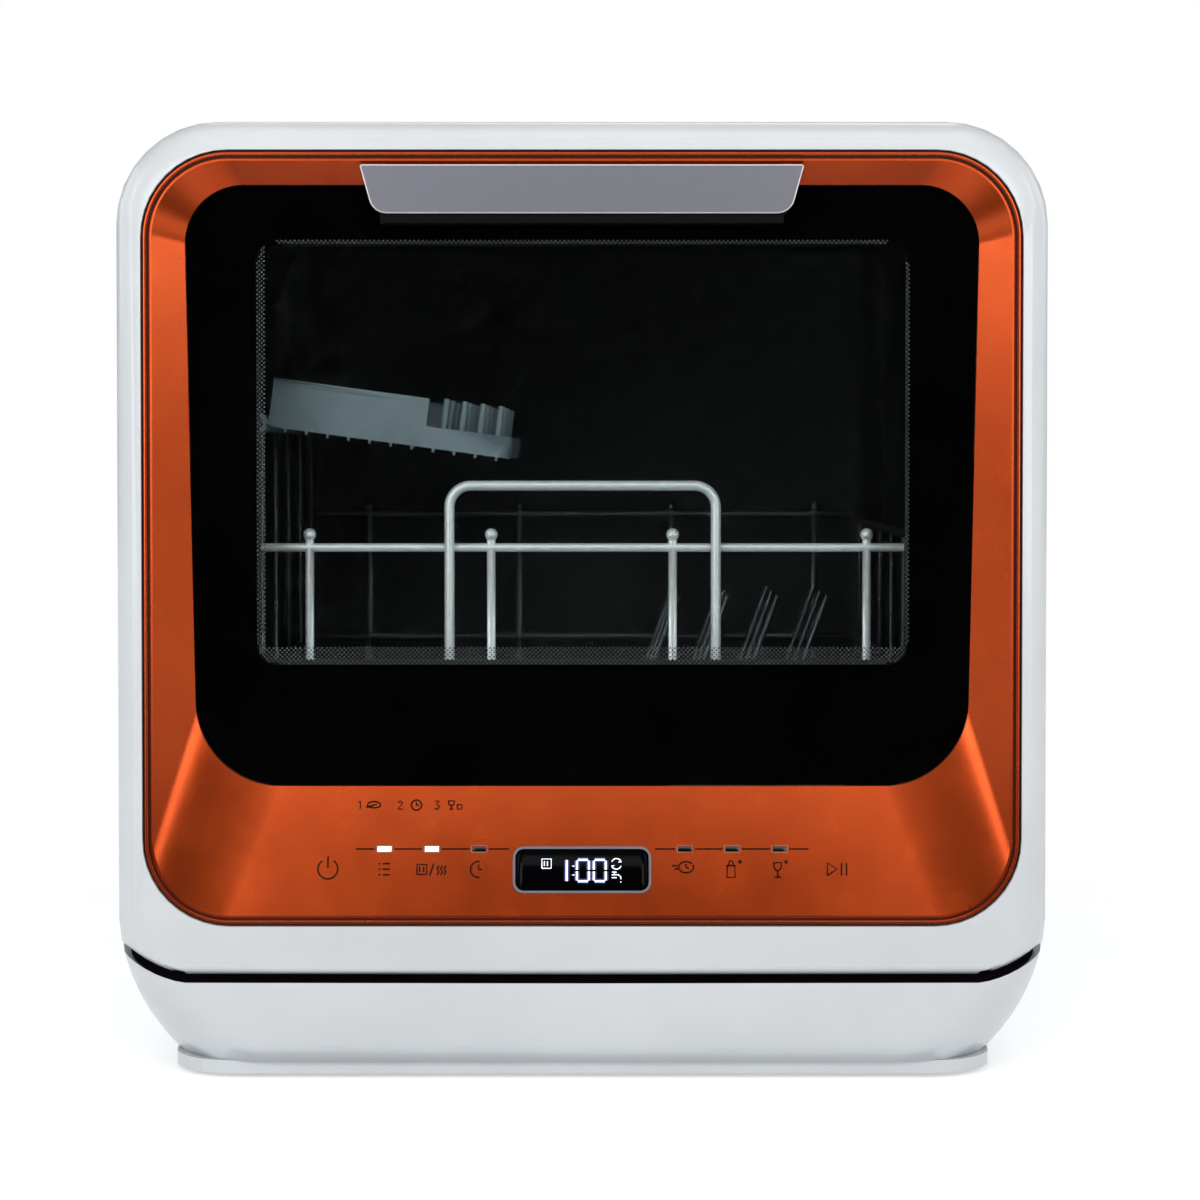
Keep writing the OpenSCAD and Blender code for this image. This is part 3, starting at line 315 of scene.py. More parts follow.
def moulded(name, dark, light, rough, size=0.7, depth=0.015, **sockets):
    """Plastic, rubber, ink or lacquer with a grain of that size and depth in millimetres."""
    return surface(name, (DRIFT, rgb(dark), rgb(light)), (DRIFT, rough - 0.04, rough + 0.06),
                   (size, depth), **sockets)


FINISHES.update({
    "tub_plastic": moulded("charcoal_polypropylene", "#151617", "#1b1c1e", 0.4, 1.0),
    "grey_plastic": moulded("grey_polypropylene", "#7f8689", "#8a9193", 0.45),
    "tray_plastic": moulded("slate_polypropylene", "#6e7c84", "#798890", 0.42),
    "dark_grey": moulded("dark_grey_abs", "#3a3c3f", "#434548", 0.45),
    "black_plastic": moulded("black_abs", "#070708", "#0b0b0c", 0.6, Specular_IOR_Level=0.1),
    "trough": moulded("glossy_charcoal_abs", "#262126", "#2d272c", 0.18),
    "rubber": moulded("black_epdm_rubber", "#111112", "#1a1a1b", 0.62, 1.1, 0.03),
    "tank": moulded("milky_polypropylene", "#cfd6d6", "#dbe0df", 0.4, 1.5, 0.02),
    "board": moulded("green_solder_mask", "#0f5a33", "#14663b", 0.3, 2.5, 0.05),
})
print(len(FINISHES), "finishes")

# %% [markdown]
# ## Inks, windows and lights
#
# The glass is screen printed in black and its dots in grey, and the panel is pad printed
# in dark brown. Ink lies in a film of a few microns, so it has hardly any relief, and the
# black is left without gloss, because the glass in front of it already has one. The
# display is smoked acrylic, and the small windows are polycarbonate. What is lit gives
# off light of its own, below white, so that it keeps its colour.

# %% Inks, windows and lights
FINISHES.update({
    "display": moulded("smoked_acrylic", "#020203", "#040406", 0.1, 40, 0.001,
                       Specular_IOR_Level=0.06),
    "glass_print": moulded("black_screen_print", "#020202", "#050506", 0.5, 1.2, 0.001,
                           Specular_IOR_Level=0.0),
    "dot_print": moulded("grey_screen_print", "#3e4143", "#4a4d4f", 0.5, 1.2, 0.004),
    "panel_ink": moulded("brown_pad_print", "#0c0402", "#120603", 0.6, 1.2, 0.001,
                         Specular_IOR_Level=0.1),
    # Painted shade: a dark red finish for the shadow in the surround's grooves.
    "rim_shade": moulded("groove_painted_shade", "#2c0801", "#380b02", 0.5, 1.2, 0.004,
                         Metallic=0.4),
    "light_rim": moulded("moulded_window_edge", "#8d6a58", "#99735f", 0.3, 1.2),
    "dark_window": moulded("smoked_polycarbonate", "#0b0b0c", "#121213", 0.12, 1.2),
    "lit_window": moulded("lit_polycarbonate", "#e6ecf2", "#f2f6fa", 0.25, 1.2,
                          Emission_Color=rgb("#eef4ff"), Emission_Strength=0.9),
    "digit": moulded("lit_display_segment", "#cfe0ff", "#e4eeff", 0.3, 1.2,
                     Emission_Color=rgb("#dfeaff"), Emission_Strength=0.95),
    "digit_glow": moulded("blue_display_haze", "#05070f", "#070b18", 0.3, 3,
                          Emission_Color=rgb("#2436a8"), Emission_Strength=0.35),
})
print(len(FINISHES), "finishes")

# %% [markdown]
# ## Giving the solids their finishes
#
# Each finish is made once and shared. The solids come with plain colours, and each gets
# its finish in its slots, while its mesh stays as it was packed. The two panes cast no
# shadow, so the lamps reach the tub behind them, as they do through real glass.

# %% Give the solids their finishes
NODE_FINISH = {
    "white_casing": "base_tray cabinet_shell back_panel fill_collar fill_cover door_frame plinth",
    "orange": "door_surround",
    "outer_glass": "door_glass",
    "inner_glass": "inner_glass",
    "aluminium": "handle_plate display_frame",
    "steel": "coarse_filter latch_striker",
    "tub_plastic": "tub inner_door_panel",
    "zinc": "back_screws hinge_arm_left hinge_arm_right hinge_pins roller_axles",
    "wire": "rack_front rack_handle",
    # painted shade of the tub on the rack's floor, back, sides and tines
    "wire_in_painted_shade": "rack_floor rack_back plate_tines rack_left rack_right",
    "grey_plastic": """screw_posts filter_cup spray_hub spray_arm latch_housing wash_pump
        wash_impeller drain_pump drain_impeller fan_housing hose_ports hinge_knuckles
        dispenser_body dispenser_lid roller_front_left roller_front_right roller_rear_left
        roller_rear_right""",
    "tray_plastic": "cutlery_tray",
    "dark_grey": "front_frame",
    "black_plastic": "latch_bolt fan_wheel cord_gland handle_grip",
    "rubber": "foot_pads tub_gasket inner_glass_seal",
    "tank": "water_tank",
    "board": "control_board",
    "display": "display_lens",
    "dark_window": "indicator_lights",
    "trough": "hinge_trough",
}
for finish, names in NODE_FINISH.items():
    for name in names.split():
        solid = frame["nodes"][name]
        if not solid.material_slots:
            solid.data.materials.append(None)
        for slot in solid.material_slots:
            slot.material = FINISHES[finish]
for name in ("door_glass", "inner_glass"):
    frame["nodes"][name].visible_shadow = False
finished = sum(len(names.split()) for names in NODE_FINISH.values())
print(finished, "of", len(frame["nodes"]), "solids finished")

# %% [markdown]
# ## Helpers for modelling
#
# Every new piece is begun, shaped and closed in the same way, as by hand. Nothing else
# may be selected when a primitive is added, because an operator acts on all that is
# selected. The primitive's place goes into its mesh at once, so that a height in the mesh
# is a height on the machine, and corners are then picked in edit mode by where they are.
# At the end doubles are merged, faces are turned outwards, shading is smoothed at small
# angles, and the piece rides on its part of the machine. Sizes are given in millimetres.

# %% Helpers for modelling
WELD = 0.002


def begin(name, primitive, **place):
    """Adds a primitive alone, names it, and opens it in edit mode."""
    bpy.ops.object.select_all(action="DESELECT")
    primitive(**place)
    piece = bpy.context.object
    piece.name = piece.data.name = name
    bpy.ops.object.transform_apply(location=True, rotation=True, scale=True)
    bpy.ops.object.mode_set(mode="EDIT")
    bpy.ops.mesh.select_mode(type="VERT")
    return piece


def pick(test):
    """Selects the corners whose place, in millimetres, passes a test."""
    mesh = bmesh.from_edit_mesh(bpy.context.object.data)
    bpy.ops.mesh.select_all(action="DESELECT")
    for corner in mesh.verts:
        corner.select = bool(test(corner.co / MM))
    mesh.select_flush_mode()
    bmesh.update_edit_mesh(bpy.context.object.data)


def alone(piece):
    """Makes a piece the only one selected."""
    bpy.ops.object.select_all(action="DESELECT")
    piece.select_set(True)
    bpy.context.view_layer.objects.active = piece


def close(piece, body, finish, angle=35):
    """Merges doubles, turns the faces outwards, smooths, and rides on a body."""
    if bpy.context.mode != "EDIT_MESH":
        alone(piece)
        bpy.ops.object.mode_set(mode="EDIT")
    bpy.ops.mesh.select_all(action="SELECT")
    bpy.ops.mesh.remove_doubles(threshold=WELD * MM)
    bpy.ops.mesh.normals_make_consistent(inside=False)
    bpy.ops.object.mode_set(mode="OBJECT")
    alone(piece)
    bpy.ops.object.shade_smooth_by_angle(angle=math.radians(angle))
    piece.data.materials.clear()
    piece.data.materials.append(FINISHES[finish])
    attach(piece, body)
    return piece


def add_modifier(piece, kind, **settings):
    """Adds a modifier with its settings and applies it."""
    alone(piece)
    modifier = piece.modifiers.new(kind.lower(), kind)
    for name, value in settings.items():
        setattr(modifier, name, value)
    bpy.ops.object.modifier_apply(modifier=modifier.name)


print("a piece is begun, picked, shaped and closed")

# %% [markdown]
# ## Round corners that look round
#
# A solid comes from the CAD model as loose triangles, so each small facet of a rounded
# corner is shaded flat. A copy whose doubles are merged can be smoothed across them, with
# the larger faces counting more, so that flat walls stay flat. The casing's forms are
# wide and flat, and are smoothed at a smaller angle than the small parts are. The copy
# rides on the same body and stands in for the solid, whose shape it keeps exactly.

# %% Round corners that look round
WIDE_FORMS = "base_tray cabinet_shell back_panel door_frame plinth".split()
SMALL_FORMS = """foot_pads fill_collar fill_cover hose_ports cord_gland hinge_trough hinge_knuckles
    hinge_arm_left hinge_arm_right hinge_pins tub tub_gasket front_frame rack_floor rack_front
    rack_back rack_left rack_right rack_handle plate_tines spray_arm spray_hub filter_cup
    coarse_filter water_tank wash_pump drain_pump fan_housing roller_front_left
    roller_front_right roller_rear_left roller_rear_right back_screws display_frame
    display_lens handle_grip cutlery_tray inner_door_panel inner_glass_seal dispenser_body
    dispenser_lid latch_striker""".split()
WIDE_ANGLE, SMALL_ANGLE, SOLID_WELD, FLAT_WEIGHT = 22, 40, 0.02, 80


def merged_copy(name, prefix, gap):
    """A copy of a solid, open in edit mode, whose corners within a gap are merged."""
    solid = frame["nodes"][name]
    copy = solid.copy()
    copy.data = solid.data.copy()
    copy.parent = None
    copy.matrix_world = solid.matrix_world
    copy.name = copy.data.name = prefix + name
    bpy.context.scene.collection.objects.link(copy)
    alone(copy)
    bpy.ops.object.mode_set(mode="EDIT")
    bpy.ops.mesh.select_all(action="SELECT")
    bpy.ops.mesh.remove_doubles(threshold=gap * MM)
    return copy


for name in WIDE_FORMS + SMALL_FORMS:
    solid = frame["nodes"][name]
    copy = merged_copy(name, "smooth_", SOLID_WELD)
    bpy.ops.object.mode_set(mode="OBJECT")
    angle = WIDE_ANGLE if name in WIDE_FORMS else SMALL_ANGLE
    bpy.ops.object.shade_smooth_by_angle(angle=math.radians(angle))
    add_modifier(copy, "WEIGHTED_NORMAL", keep_sharp=True, weight=FLAT_WEIGHT)
    copy.data.materials.clear()
    copy.data.materials.append(solid.material_slots[0].material)
    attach(copy, body_of(solid)[0])
    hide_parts(name)
print(len(WIDE_FORMS + SMALL_FORMS), "solids smoothed")

# %% [markdown]
# ## Measuring the front
#
# The surround and the glass are measured on the frame's own solids, so the new pieces
# stand exactly where those do. The panel's face starts a little above the rim's lower
# edge and falls back to the glass. The glass's sides lean outwards, and its corners are
# round, so its widths are those of the corners that its straight edges would meet in.

# %% Measure the front
UPRIGHT = (math.pi / 2, 0, 0)
NEAR = 0.01
rim_low, rim_high = [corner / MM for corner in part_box("door_surround")]
glass_low, glass_high = [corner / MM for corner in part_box("door_glass")]
RIM_R = 39
RIM_Y = rim_low.y + 1.4
RIM_MIDDLE = (rim_low.z + rim_high.z) / 2
FACE_LOW_Y, FACE_LOW_Z = machine_box[0].y / MM + 2, rim_low.z + 4.9
GLASS_LOW_W, GLASS_HIGH_W = 348.8, 359.8
GLASS_LOW_R, GLASS_HIGH_R = 37.5, 27
GLASS_Y, GLASS_MIDDLE = glass_low.y, (glass_low.z + glass_high.z) / 2
print("rim", round(rim_high.x - rim_low.x, 1), "mm wide, glass", round(2 * glass_high.x, 1))

# %% [markdown]
# ## The door's orange surround
#
# The surround is one moulding: a bright bead at its rim, two thin grooves, and a face that
# falls back to the glass, gently below and steeply at the sides. Between a straight side
# and the panel below, the face turns in a wide cone at each lower corner. Booleans would
# leave facets there, so it is lofted. A plain plane is bevelled into the outer outline,
# inset step by step for the bead and the grooves, and its last ring is bridged to a second
# outline, that of the glass. Both have as many corners, so the bridge runs true. The
# floors of the two grooves get a dark red finish as painted shade, for the shadow in them.

# %% Outlines with rounded corners
def outline(width, top_width, low, high, y, low_r, high_r, steps=24):
    """Shapes the selected unit plane into an upright panel with rounded corners."""
    middle = Vector((0, y, (low + high) / 2)) * MM
    bpy.ops.transform.resize(value=(width * MM, 1, (high - low) * MM), center_override=middle)
    for row, across, radius in ((high, top_width, high_r), (low, width, low_r)):
        pick(lambda co: abs(co.y - y) < NEAR and abs(co.z - row) < NEAR)
        bpy.ops.transform.resize(value=(across / width, 1, 1), center_override=middle)
        bpy.ops.mesh.bevel(offset=radius * MM, segments=steps, affect="VERTICES")


def on_rim(co, edge=0.4):
    """True on the outermost ring of the rim, along its sides and round its four arcs."""
    across = abs(co.x) - (rim_high.x - RIM_R)
    up = abs(co.z - RIM_MIDDLE) - ((rim_high.z - rim_low.z) / 2 - RIM_R)
    on_side = abs(co.x) > rim_high.x - edge or not rim_low.z + edge <= co.z <= rim_high.z - edge
    return on_side or (across > 0 and up > 0 and math.hypot(across, up) > RIM_R - edge)


print("the glass is", GLASS_LOW_W, "mm wide below and", GLASS_HIGH_W, "above")

# %% The rim and the face behind it
RIM_STEPS = [(0.9, 0), (0.15, 1.5), (0.35, 0.45), (0.4, 0.06), (0.4, -0.06), (0.35, -0.45),
             (0.15, -1.3), (0.8, -0.05), (0.15, 0.45), (0.35, 0.28), (0.9, 0.02)]
GLASS_SEAT, RIM_DEPTH, GROOVE_DEPTH = 3.5, 2.5, 0.3
FACE_Y = RIM_Y - sum(depth for _, depth in RIM_STEPS)
surround = begin("orange_surround", bpy.ops.mesh.primitive_plane_add, size=1, rotation=UPRIGHT,
                 location=Vector((0, RIM_Y, RIM_MIDDLE)) * MM)
rim_w = rim_high.x - rim_low.x
outline(rim_w, rim_w, rim_low.z, rim_high.z, RIM_Y, RIM_R, RIM_R)
bpy.ops.mesh.select_all(action="SELECT")
for thickness, depth in RIM_STEPS:
    bpy.ops.mesh.inset(thickness=thickness * MM, depth=depth * MM, use_boundary=True)
bpy.ops.mesh.delete(type="ONLY_FACE")
bpy.ops.mesh.primitive_plane_add(size=1, rotation=UPRIGHT,
                                 location=Vector((0, GLASS_Y, GLASS_MIDDLE)) * MM)
outline(GLASS_LOW_W, GLASS_HIGH_W, glass_low.z, glass_high.z, GLASS_Y, GLASS_LOW_R, GLASS_HIGH_R)
pick(lambda co: abs(co.y - GLASS_Y) < NEAR)
bpy.ops.mesh.delete(type="ONLY_FACE")
pick(lambda co: abs(co.y - GLASS_Y) < NEAR or abs(co.y - FACE_Y) < NEAR / 10)
bpy.ops.mesh.bridge_edge_loops()
pick(lambda co: abs(co.y - GLASS_Y) < NEAR)
bpy.ops.mesh.extrude_region_move(TRANSFORM_OT_translate={"value": (0, GLASS_SEAT * MM, 0)})
pick(lambda co: abs(co.y - RIM_Y) < NEAR / 10 and on_rim(co))
bpy.ops.mesh.extrude_region_move(TRANSFORM_OT_translate={"value": (0, RIM_DEPTH * MM, 0)})
close(surround, "door", "orange", angle=30)
print("surround", len(surround.data.polygons), "faces, its face begins at", round(FACE_Y, 2), "mm")

# %% The grooves' floors in painted shade
surround.data.materials.append(FINISHES["rim_shade"])
# The faces at the depth of the groove floors take the painted shade.
heights = [corner.co.y / MM for corner in surround.data.vertices]
for face in surround.data.polygons:
    if all(RIM_Y - GROOVE_DEPTH < heights[k] < RIM_Y + NEAR for k in face.vertices):
        face.material_index = 1
add_modifier(surround, "WEIGHTED_NORMAL", keep_sharp=True)
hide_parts("door_surround")
print(sum(face.material_index for face in surround.data.polygons), "dark faces")

# %% [markdown]
# ## Print behind the glass
#
# The back of the outer pane is screen printed in black, all but the window, and towards
# the window the ink breaks up into a band of small dots. The print is a sheet with a
# hole, again two outlines bridged. The window is a little smaller than the inner pane,
# which hides behind the print with its seal.

# %% Print behind the glass
PRINT_Y, PRINT_EDGE = glass_high.y + 0.1, 0.2
pane_low, pane_high = [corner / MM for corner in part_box("inner_glass")]
WINDOW_W, WINDOW_R, WINDOW_Y = pane_high.x - pane_low.x - 11, 9, PRINT_Y + 0.05
WINDOW_LOW, WINDOW_HIGH = pane_low.z + 4, pane_high.z - 4
WINDOW_MIDDLE = (WINDOW_LOW + WINDOW_HIGH) / 2


def in_window(co, margin=0.1):
    """True inside the window's outline, or on it."""
    return (abs(co.x) < WINDOW_W / 2 + margin
            and WINDOW_LOW - margin < co.z < WINDOW_HIGH + margin)


print_sheet = begin("glass_print", bpy.ops.mesh.primitive_plane_add, size=1, rotation=UPRIGHT,
                    location=Vector((0, PRINT_Y, GLASS_MIDDLE)) * MM)
outline(GLASS_LOW_W - 2 * PRINT_EDGE, GLASS_HIGH_W - 2 * PRINT_EDGE, glass_low.z + PRINT_EDGE,
        glass_high.z - PRINT_EDGE, PRINT_Y, GLASS_LOW_R - PRINT_EDGE / 2, GLASS_HIGH_R)
bpy.ops.mesh.select_all(action="SELECT")
bpy.ops.mesh.delete(type="ONLY_FACE")
bpy.ops.mesh.primitive_plane_add(size=1, rotation=UPRIGHT,
                                 location=Vector((0, WINDOW_Y, WINDOW_MIDDLE)) * MM)
outline(WINDOW_W, WINDOW_W, WINDOW_LOW, WINDOW_HIGH, WINDOW_Y, WINDOW_R, WINDOW_R)
pick(in_window)
bpy.ops.mesh.delete(type="ONLY_FACE")
bpy.ops.mesh.select_all(action="SELECT")
bpy.ops.mesh.bridge_edge_loops()
close(print_sheet, "door", "glass_print")
print("print", len(print_sheet.data.polygons), "faces")

# %% [markdown]
# ## Dots along the window
#
# One dot is modelled, and arrays repeat it in two staggered grids along each side of the
# window. The bands are thin above and at the sides, and four rows deep below. Dots outside
# the window's round corners are left out. A dot has six corners, because there are many.

# %% Dots along the window
PITCH, DOT_R, DOT_Y = 2.0, 0.46, PRINT_Y - 0.05
NEAR_IN, FAR_IN, BAND_START = 0.7, 0.8, 6
columns, levels = int(WINDOW_W / PITCH), round((WINDOW_HIGH - WINDOW_LOW) / PITCH)
left, right = NEAR_IN - WINDOW_W / 2, WINDOW_W / 2 - FAR_IN
# Each band: its first dot across and up, and how many dots it has across and up
BANDS = {
    "bottom": (left, WINDOW_LOW + NEAR_IN, columns, 4),
    "top": (left, WINDOW_HIGH - FAR_IN, columns, 1),
    "left": (left, WINDOW_LOW + BAND_START, 2, levels - 4),
    "right": (right, WINDOW_LOW + BAND_START, 1, levels - 4),
}


def in_corner(co):
    """True where a place lies outside the window's rounded corners."""
    across = abs(co.x) - (WINDOW_W / 2 - WINDOW_R)
    up = abs(co.z - WINDOW_MIDDLE) - ((WINDOW_HIGH - WINDOW_LOW) / 2 - WINDOW_R)
    return across > 0 and up > 0 and math.hypot(across, up) > WINDOW_R - 0.4


grids = []
for side, (x, z, across, up) in BANDS.items():
    for stagger in (0, PITCH / 2):
        grid = begin("dots_" + side, bpy.ops.mesh.primitive_circle_add, vertices=6,
                     radius=DOT_R * MM, fill_type="NGON", rotation=UPRIGHT,
                     location=Vector((x + stagger, DOT_Y, z + stagger)) * MM)
        bpy.ops.object.mode_set(mode="OBJECT")
        for count, step in ((across, (PITCH * MM, 0, 0)), (up, (0, 0, PITCH * MM))):
            add_modifier(grid, "ARRAY", count=count, use_relative_offset=False,
                         use_constant_offset=True, constant_offset_displace=step)
        grids.append(grid)
print(len(grids), "grids of dots")

# %% One piece of all dots
alone(grids[0])
for grid in grids:
    grid.select_set(True)
bpy.ops.object.join()
dots = bpy.context.object
dots.name = dots.data.name = "print_dots"
bpy.ops.object.mode_set(mode="EDIT")
pick(in_corner)
bpy.ops.mesh.select_linked()
bpy.ops.mesh.delete(type="VERT")
bpy.ops.object.mode_set(mode="OBJECT")
dots.data.materials.clear()
dots.data.materials.append(FINISHES["dot_print"])
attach(dots, "door")
print("dots", len(dots.data.polygons))

# %% [markdown]
# ## The handle's bright edge
#
# The handle's plate is cut after it was brushed and anodised, and its cut edge is milled
# bright. A copy of the solid has its flat faces joined, and a narrow bevel gives
# every edge its own strip of the polished finish, which draws a line of light.

# %% The handle's bright edge
BRIGHT_W = 0.55
handle = merged_copy("handle_plate", "bright_", NEAR)
bpy.ops.mesh.dissolve_limited(angle_limit=math.radians(1))
bpy.ops.object.mode_set(mode="OBJECT")
handle.data.materials.clear()
for finish in ("aluminium", "wire"):
    handle.data.materials.append(FINISHES[finish])
add_modifier(handle, "BEVEL", width=BRIGHT_W * MM, segments=2, angle_limit=math.radians(40),
             material=1)
bpy.ops.object.shade_smooth_by_angle(angle=math.radians(50))
add_modifier(handle, "WEIGHTED_NORMAL", keep_sharp=True)
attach(handle, "door")
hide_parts("handle_plate")
print("handle", len(handle.data.polygons), "faces")

# %% [markdown]
# ## Drawing on the control panel
#
# The marks on the panel are printed in thin dark brown lines. A pen is the simplest way to
# draw them: each stroke is a list of points, a curve with a round section follows them,
# and it is made a mesh, pressed flat, tilted like the panel and set on it. Places
# are millimetres across and up the slope from the middle of the display.

# %% A pen for the panel
TILT = math.atan((GLASS_Y - FACE_LOW_Y) / (glass_low.z - FACE_LOW_Z))
DISPLAY_Z = 98
PANEL_SPOT = Vector((0, FACE_LOW_Y + (DISPLAY_Z - FACE_LOW_Z) * math.tan(TILT), DISPLAY_Z)) * MM
PANEL_TURN = (math.pi / 2 - TILT, 0, 0)
PRESSED = 0.12


def bow(x, z, radius, start=0, end=360, high=None):
    """Points on an arc, or on an oval arc where a second radius is given."""
    steps = max(6, round(abs(end - start) / 15))
    angles = [math.radians(start + (end - start) * k / steps) for k in range(steps + 1)]
    return [(x + radius * math.cos(a), z + (high or radius) * math.sin(a)) for a in angles]


def oblong(x, z, width, height):
    """Points round a small rectangle."""
    a, b = width / 2, height / 2
    return [(x - a, z - b), (x + a, z - b), (x + a, z + b), (x - a, z + b), (x - a, z - b)]


def draw(name, strokes, nib, finish, lift):
    """Draws strokes on the panel with a nib that wide, lifted off it, in millimetres."""
    ink = bpy.data.curves.new(name, "CURVE")
    ink.dimensions = "3D"
    ink.bevel_depth = nib / 2 * MM
    ink.bevel_resolution = 1
    ink.use_fill_caps = True
    for stroke in strokes:
        line = ink.splines.new("POLY")
        line.points.add(len(stroke) - 1)
        for point, (x, z) in zip(line.points, stroke):
            point.co = (x * MM, z * MM, 0, 1)
    drawing = bpy.data.objects.new(name, ink)
    bpy.context.scene.collection.objects.link(drawing)
    alone(drawing)
    bpy.ops.object.convert(target="MESH")
    drawing = bpy.context.object
    bpy.ops.object.mode_set(mode="EDIT")
    bpy.ops.mesh.select_all(action="SELECT")
    bpy.ops.transform.resize(value=(1, 1, PRESSED), center_override=(0, 0, 0))
    bpy.ops.transform.translate(value=(0, 0, lift * MM))
    bpy.ops.object.mode_set(mode="OBJECT")
    drawing.rotation_euler = PANEL_TURN
    drawing.location = PANEL_SPOT
    bpy.ops.object.transform_apply(location=True, rotation=True, scale=True)
    return close(drawing, "door", finish)


print("the panel leans back by", round(math.degrees(TILT), 1), "degrees")

# %% [markdown]
# ## The marks on the panel
#
# The row of symbols: power, programme, dish and steam, late start, the display, quick
# wash, bottles, glasses, and start. Above it stand the numbers of three programmes with
# a leaf, a clock and a glass, and hairlines run between the lights. The marks are plain
# pictograms of a few strokes each, grouped here from left to right.

# %% Hairlines and the symbols on the left
LIGHT_XS, HAIRLINE = (46.4, 67.8, 89.2), 9.4
marks = []
for side in (-1, 1):
    ends = [32.9] + [x + gap for x in LIGHT_XS for gap in (-4.4, 4.4)] + [102.2]
    marks += [[(side * ends[k], HAIRLINE), (side * ends[k + 1], HAIRLINE)]
              for k in range(0, len(ends), 2)]
marks += [bow(-114.6, 0.4, 4.5, 125, 415), [(-114.6, 6.2), (-114.6, 0.8)]]  # power
for z in (-2.2, 0.3, 2.8):  # programme
    marks += [[(-91.8, z), (-90.9, z)], [(-89.9, z), (-86.6, z)]]
marks += [oblong(-72.2, 0.2, 4.4, 4.4), [(-73.2, -1), (-73.2, 1.4)],  # dish
          [(-71.4, -1), (-71.4, 1.4)], [(-68.6, -2.4), (-66.9, 2.8)]]
for x in (-65.4, -63.8, -62.2):  # steam
    marks.append([(x, -2.2), (x + 0.9, -0.9), (x, 0.5), (x + 0.9, 1.9)])
marks += [bow(-46.7, 0.2, 3.6, 80, 280), [(-46.7, 2.4), (-46.7, 0.2), (-44.9, 0.2)]]
marks += [[(x, z), (x + 0.25, z)] for x, z in bow(-46.7, 0.2, 3.6, -66, 66)[::2]]  # late start
print(len(marks), "strokes so far")

# %% The symbols on the right
marks += [bow(46.9, 1.2, 3.4, 35, 385, high=2.5), [(46.9, 2.8), (46.9, 1.2), (48.2, 0.6)],
          [(40.6, 1.8), (43.0, 1.8)], [(41.6, 0.4), (43.6, 0.4)]]  # quick wash
marks += [[(65.6, 1.9), (65.3, -3.4), (69.1, -3.4), (68.8, 1.9), (65.6, 1.9)],  # bottle
          [(66.1, 1.9), (66.5, 4), (67.9, 4), (68.3, 1.9)], [(64.9, 1.9), (69.5, 1.9)]]
marks += [[(86.4, 3.2), (86.7, 0.6), (88.2, -0.7), (89.7, 0.6), (90.0, 3.2), (86.4, 3.2)],
          [(88.2, -0.7), (88.2, -3.3)], [(86.8, -3.3), (89.6, -3.3)]]  # glass
for x in (71.2, 92.0):  # a plus beside the bottle and the glass
    marks += [[(x - 1, 3.6), (x + 1, 3.6)], [(x, 4.6), (x, 2.6)]]
marks += [[(110.6, -2.5), (110.6, 3.1), (115.0, 0.3), (110.6, -2.5)],  # start
          [(117.0, -2.5), (117.0, 3.1)], [(119.2, -2.5), (119.2, 3.1)]]
print(len(marks), "strokes so far")

# %% The numbers and pictures of three programmes
marks += [[(-101.4, 30.2), (-100.4, 31.0), (-100.4, 27.4)],  # 1 and a leaf
          bow(-94.2, 29.2, 3.0, 0, 180, high=1.6), bow(-94.2, 29.2, 3.0, 180, 360, high=1.2),
          [(-97.9, 28.2), (-93, 29.6)]]
marks += [[(-83.4, 30.4), (-82.3, 31.0), (-81.3, 30.2), (-83.4, 27.4), (-81.1, 27.4)],
          bow(-75.0, 29.2, 2.3), [(-75.0, 30.6), (-75.0, 29.2), (-73.9, 29.2)]]  # 2, a clock
marks += [[(-66.6, 31.0), (-64.7, 31.0), (-65.8, 29.6), (-64.6, 28.6), (-65.4, 27.4),
           (-66.8, 27.6)],  # 3, a glass and a cup
          [(-60.6, 31.1), (-60.3, 29.5), (-59.2, 29.0), (-58.1, 29.5), (-57.8, 31.1),
           (-60.6, 31.1)],
          [(-59.2, 29.0), (-59.2, 27.4)], [(-60.1, 27.4), (-58.3, 27.4)],
          [(-56.6, 29.4), (-56.4, 27.4), (-54.6, 27.4), (-54.4, 29.4), (-56.6, 29.4)]]
INK_NIB, INK_LIFT = 0.68, 0.06
panel_marks = draw("panel_marks", marks, INK_NIB, "panel_ink", INK_LIFT)
print("marks", len(panel_marks.data.polygons), "faces in", len(marks), "strokes")

# %% [markdown]
# ## The six lights
#
# Six small light guides sit in gaps of the hairlines. The two outer ones on the left are
# on. Each is one bevelled cube, flat on the panel, and it is modelled once and copied.
# A thin line round each is the moulded edge of its opening.

# %% The six lights
LIGHT_SIZE, LIGHT_ROUND = Vector((6.3, 2.4, 0.5)) * MM, 0.22
OPENING_W, OPENING_H, OPENING_NIB = 7.0, 3.0, 0.34
UPHILL = Vector((0, math.sin(TILT), math.cos(TILT))) * MM
first_light = begin("panel_light", bpy.ops.mesh.primitive_cube_add, size=1)
bpy.ops.mesh.select_all(action="SELECT")
bpy.ops.transform.resize(value=LIGHT_SIZE, center_override=(0, 0, 0))
bpy.ops.object.mode_set(mode="OBJECT")
add_modifier(first_light, "BEVEL", width=LIGHT_ROUND * MM, segments=3, limit_method="NONE")
for side, sign in (("left", -1), ("right", 1)):
    for k, x in enumerate(LIGHT_XS, start=1):
        light = first_light.copy()
        light.data = first_light.data.copy()
        light.name = light.data.name = f"light_{side}_{k}"
        bpy.context.scene.collection.objects.link(light)
        alone(light)
        light.rotation_euler = PANEL_TURN
        light.location = PANEL_SPOT + Vector((sign * x * MM, 0, 0)) + HAIRLINE * UPHILL
        bpy.ops.object.transform_apply(location=True, rotation=True, scale=True)
        lit = side == "left" and k > 1
        close(light, "door", "lit_window" if lit else "dark_window")
bpy.data.objects.remove(first_light)
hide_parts("indicator_lights")
rims = [oblong(sign * x, HAIRLINE, OPENING_W, OPENING_H) for sign in (-1, 1) for x in LIGHT_XS]
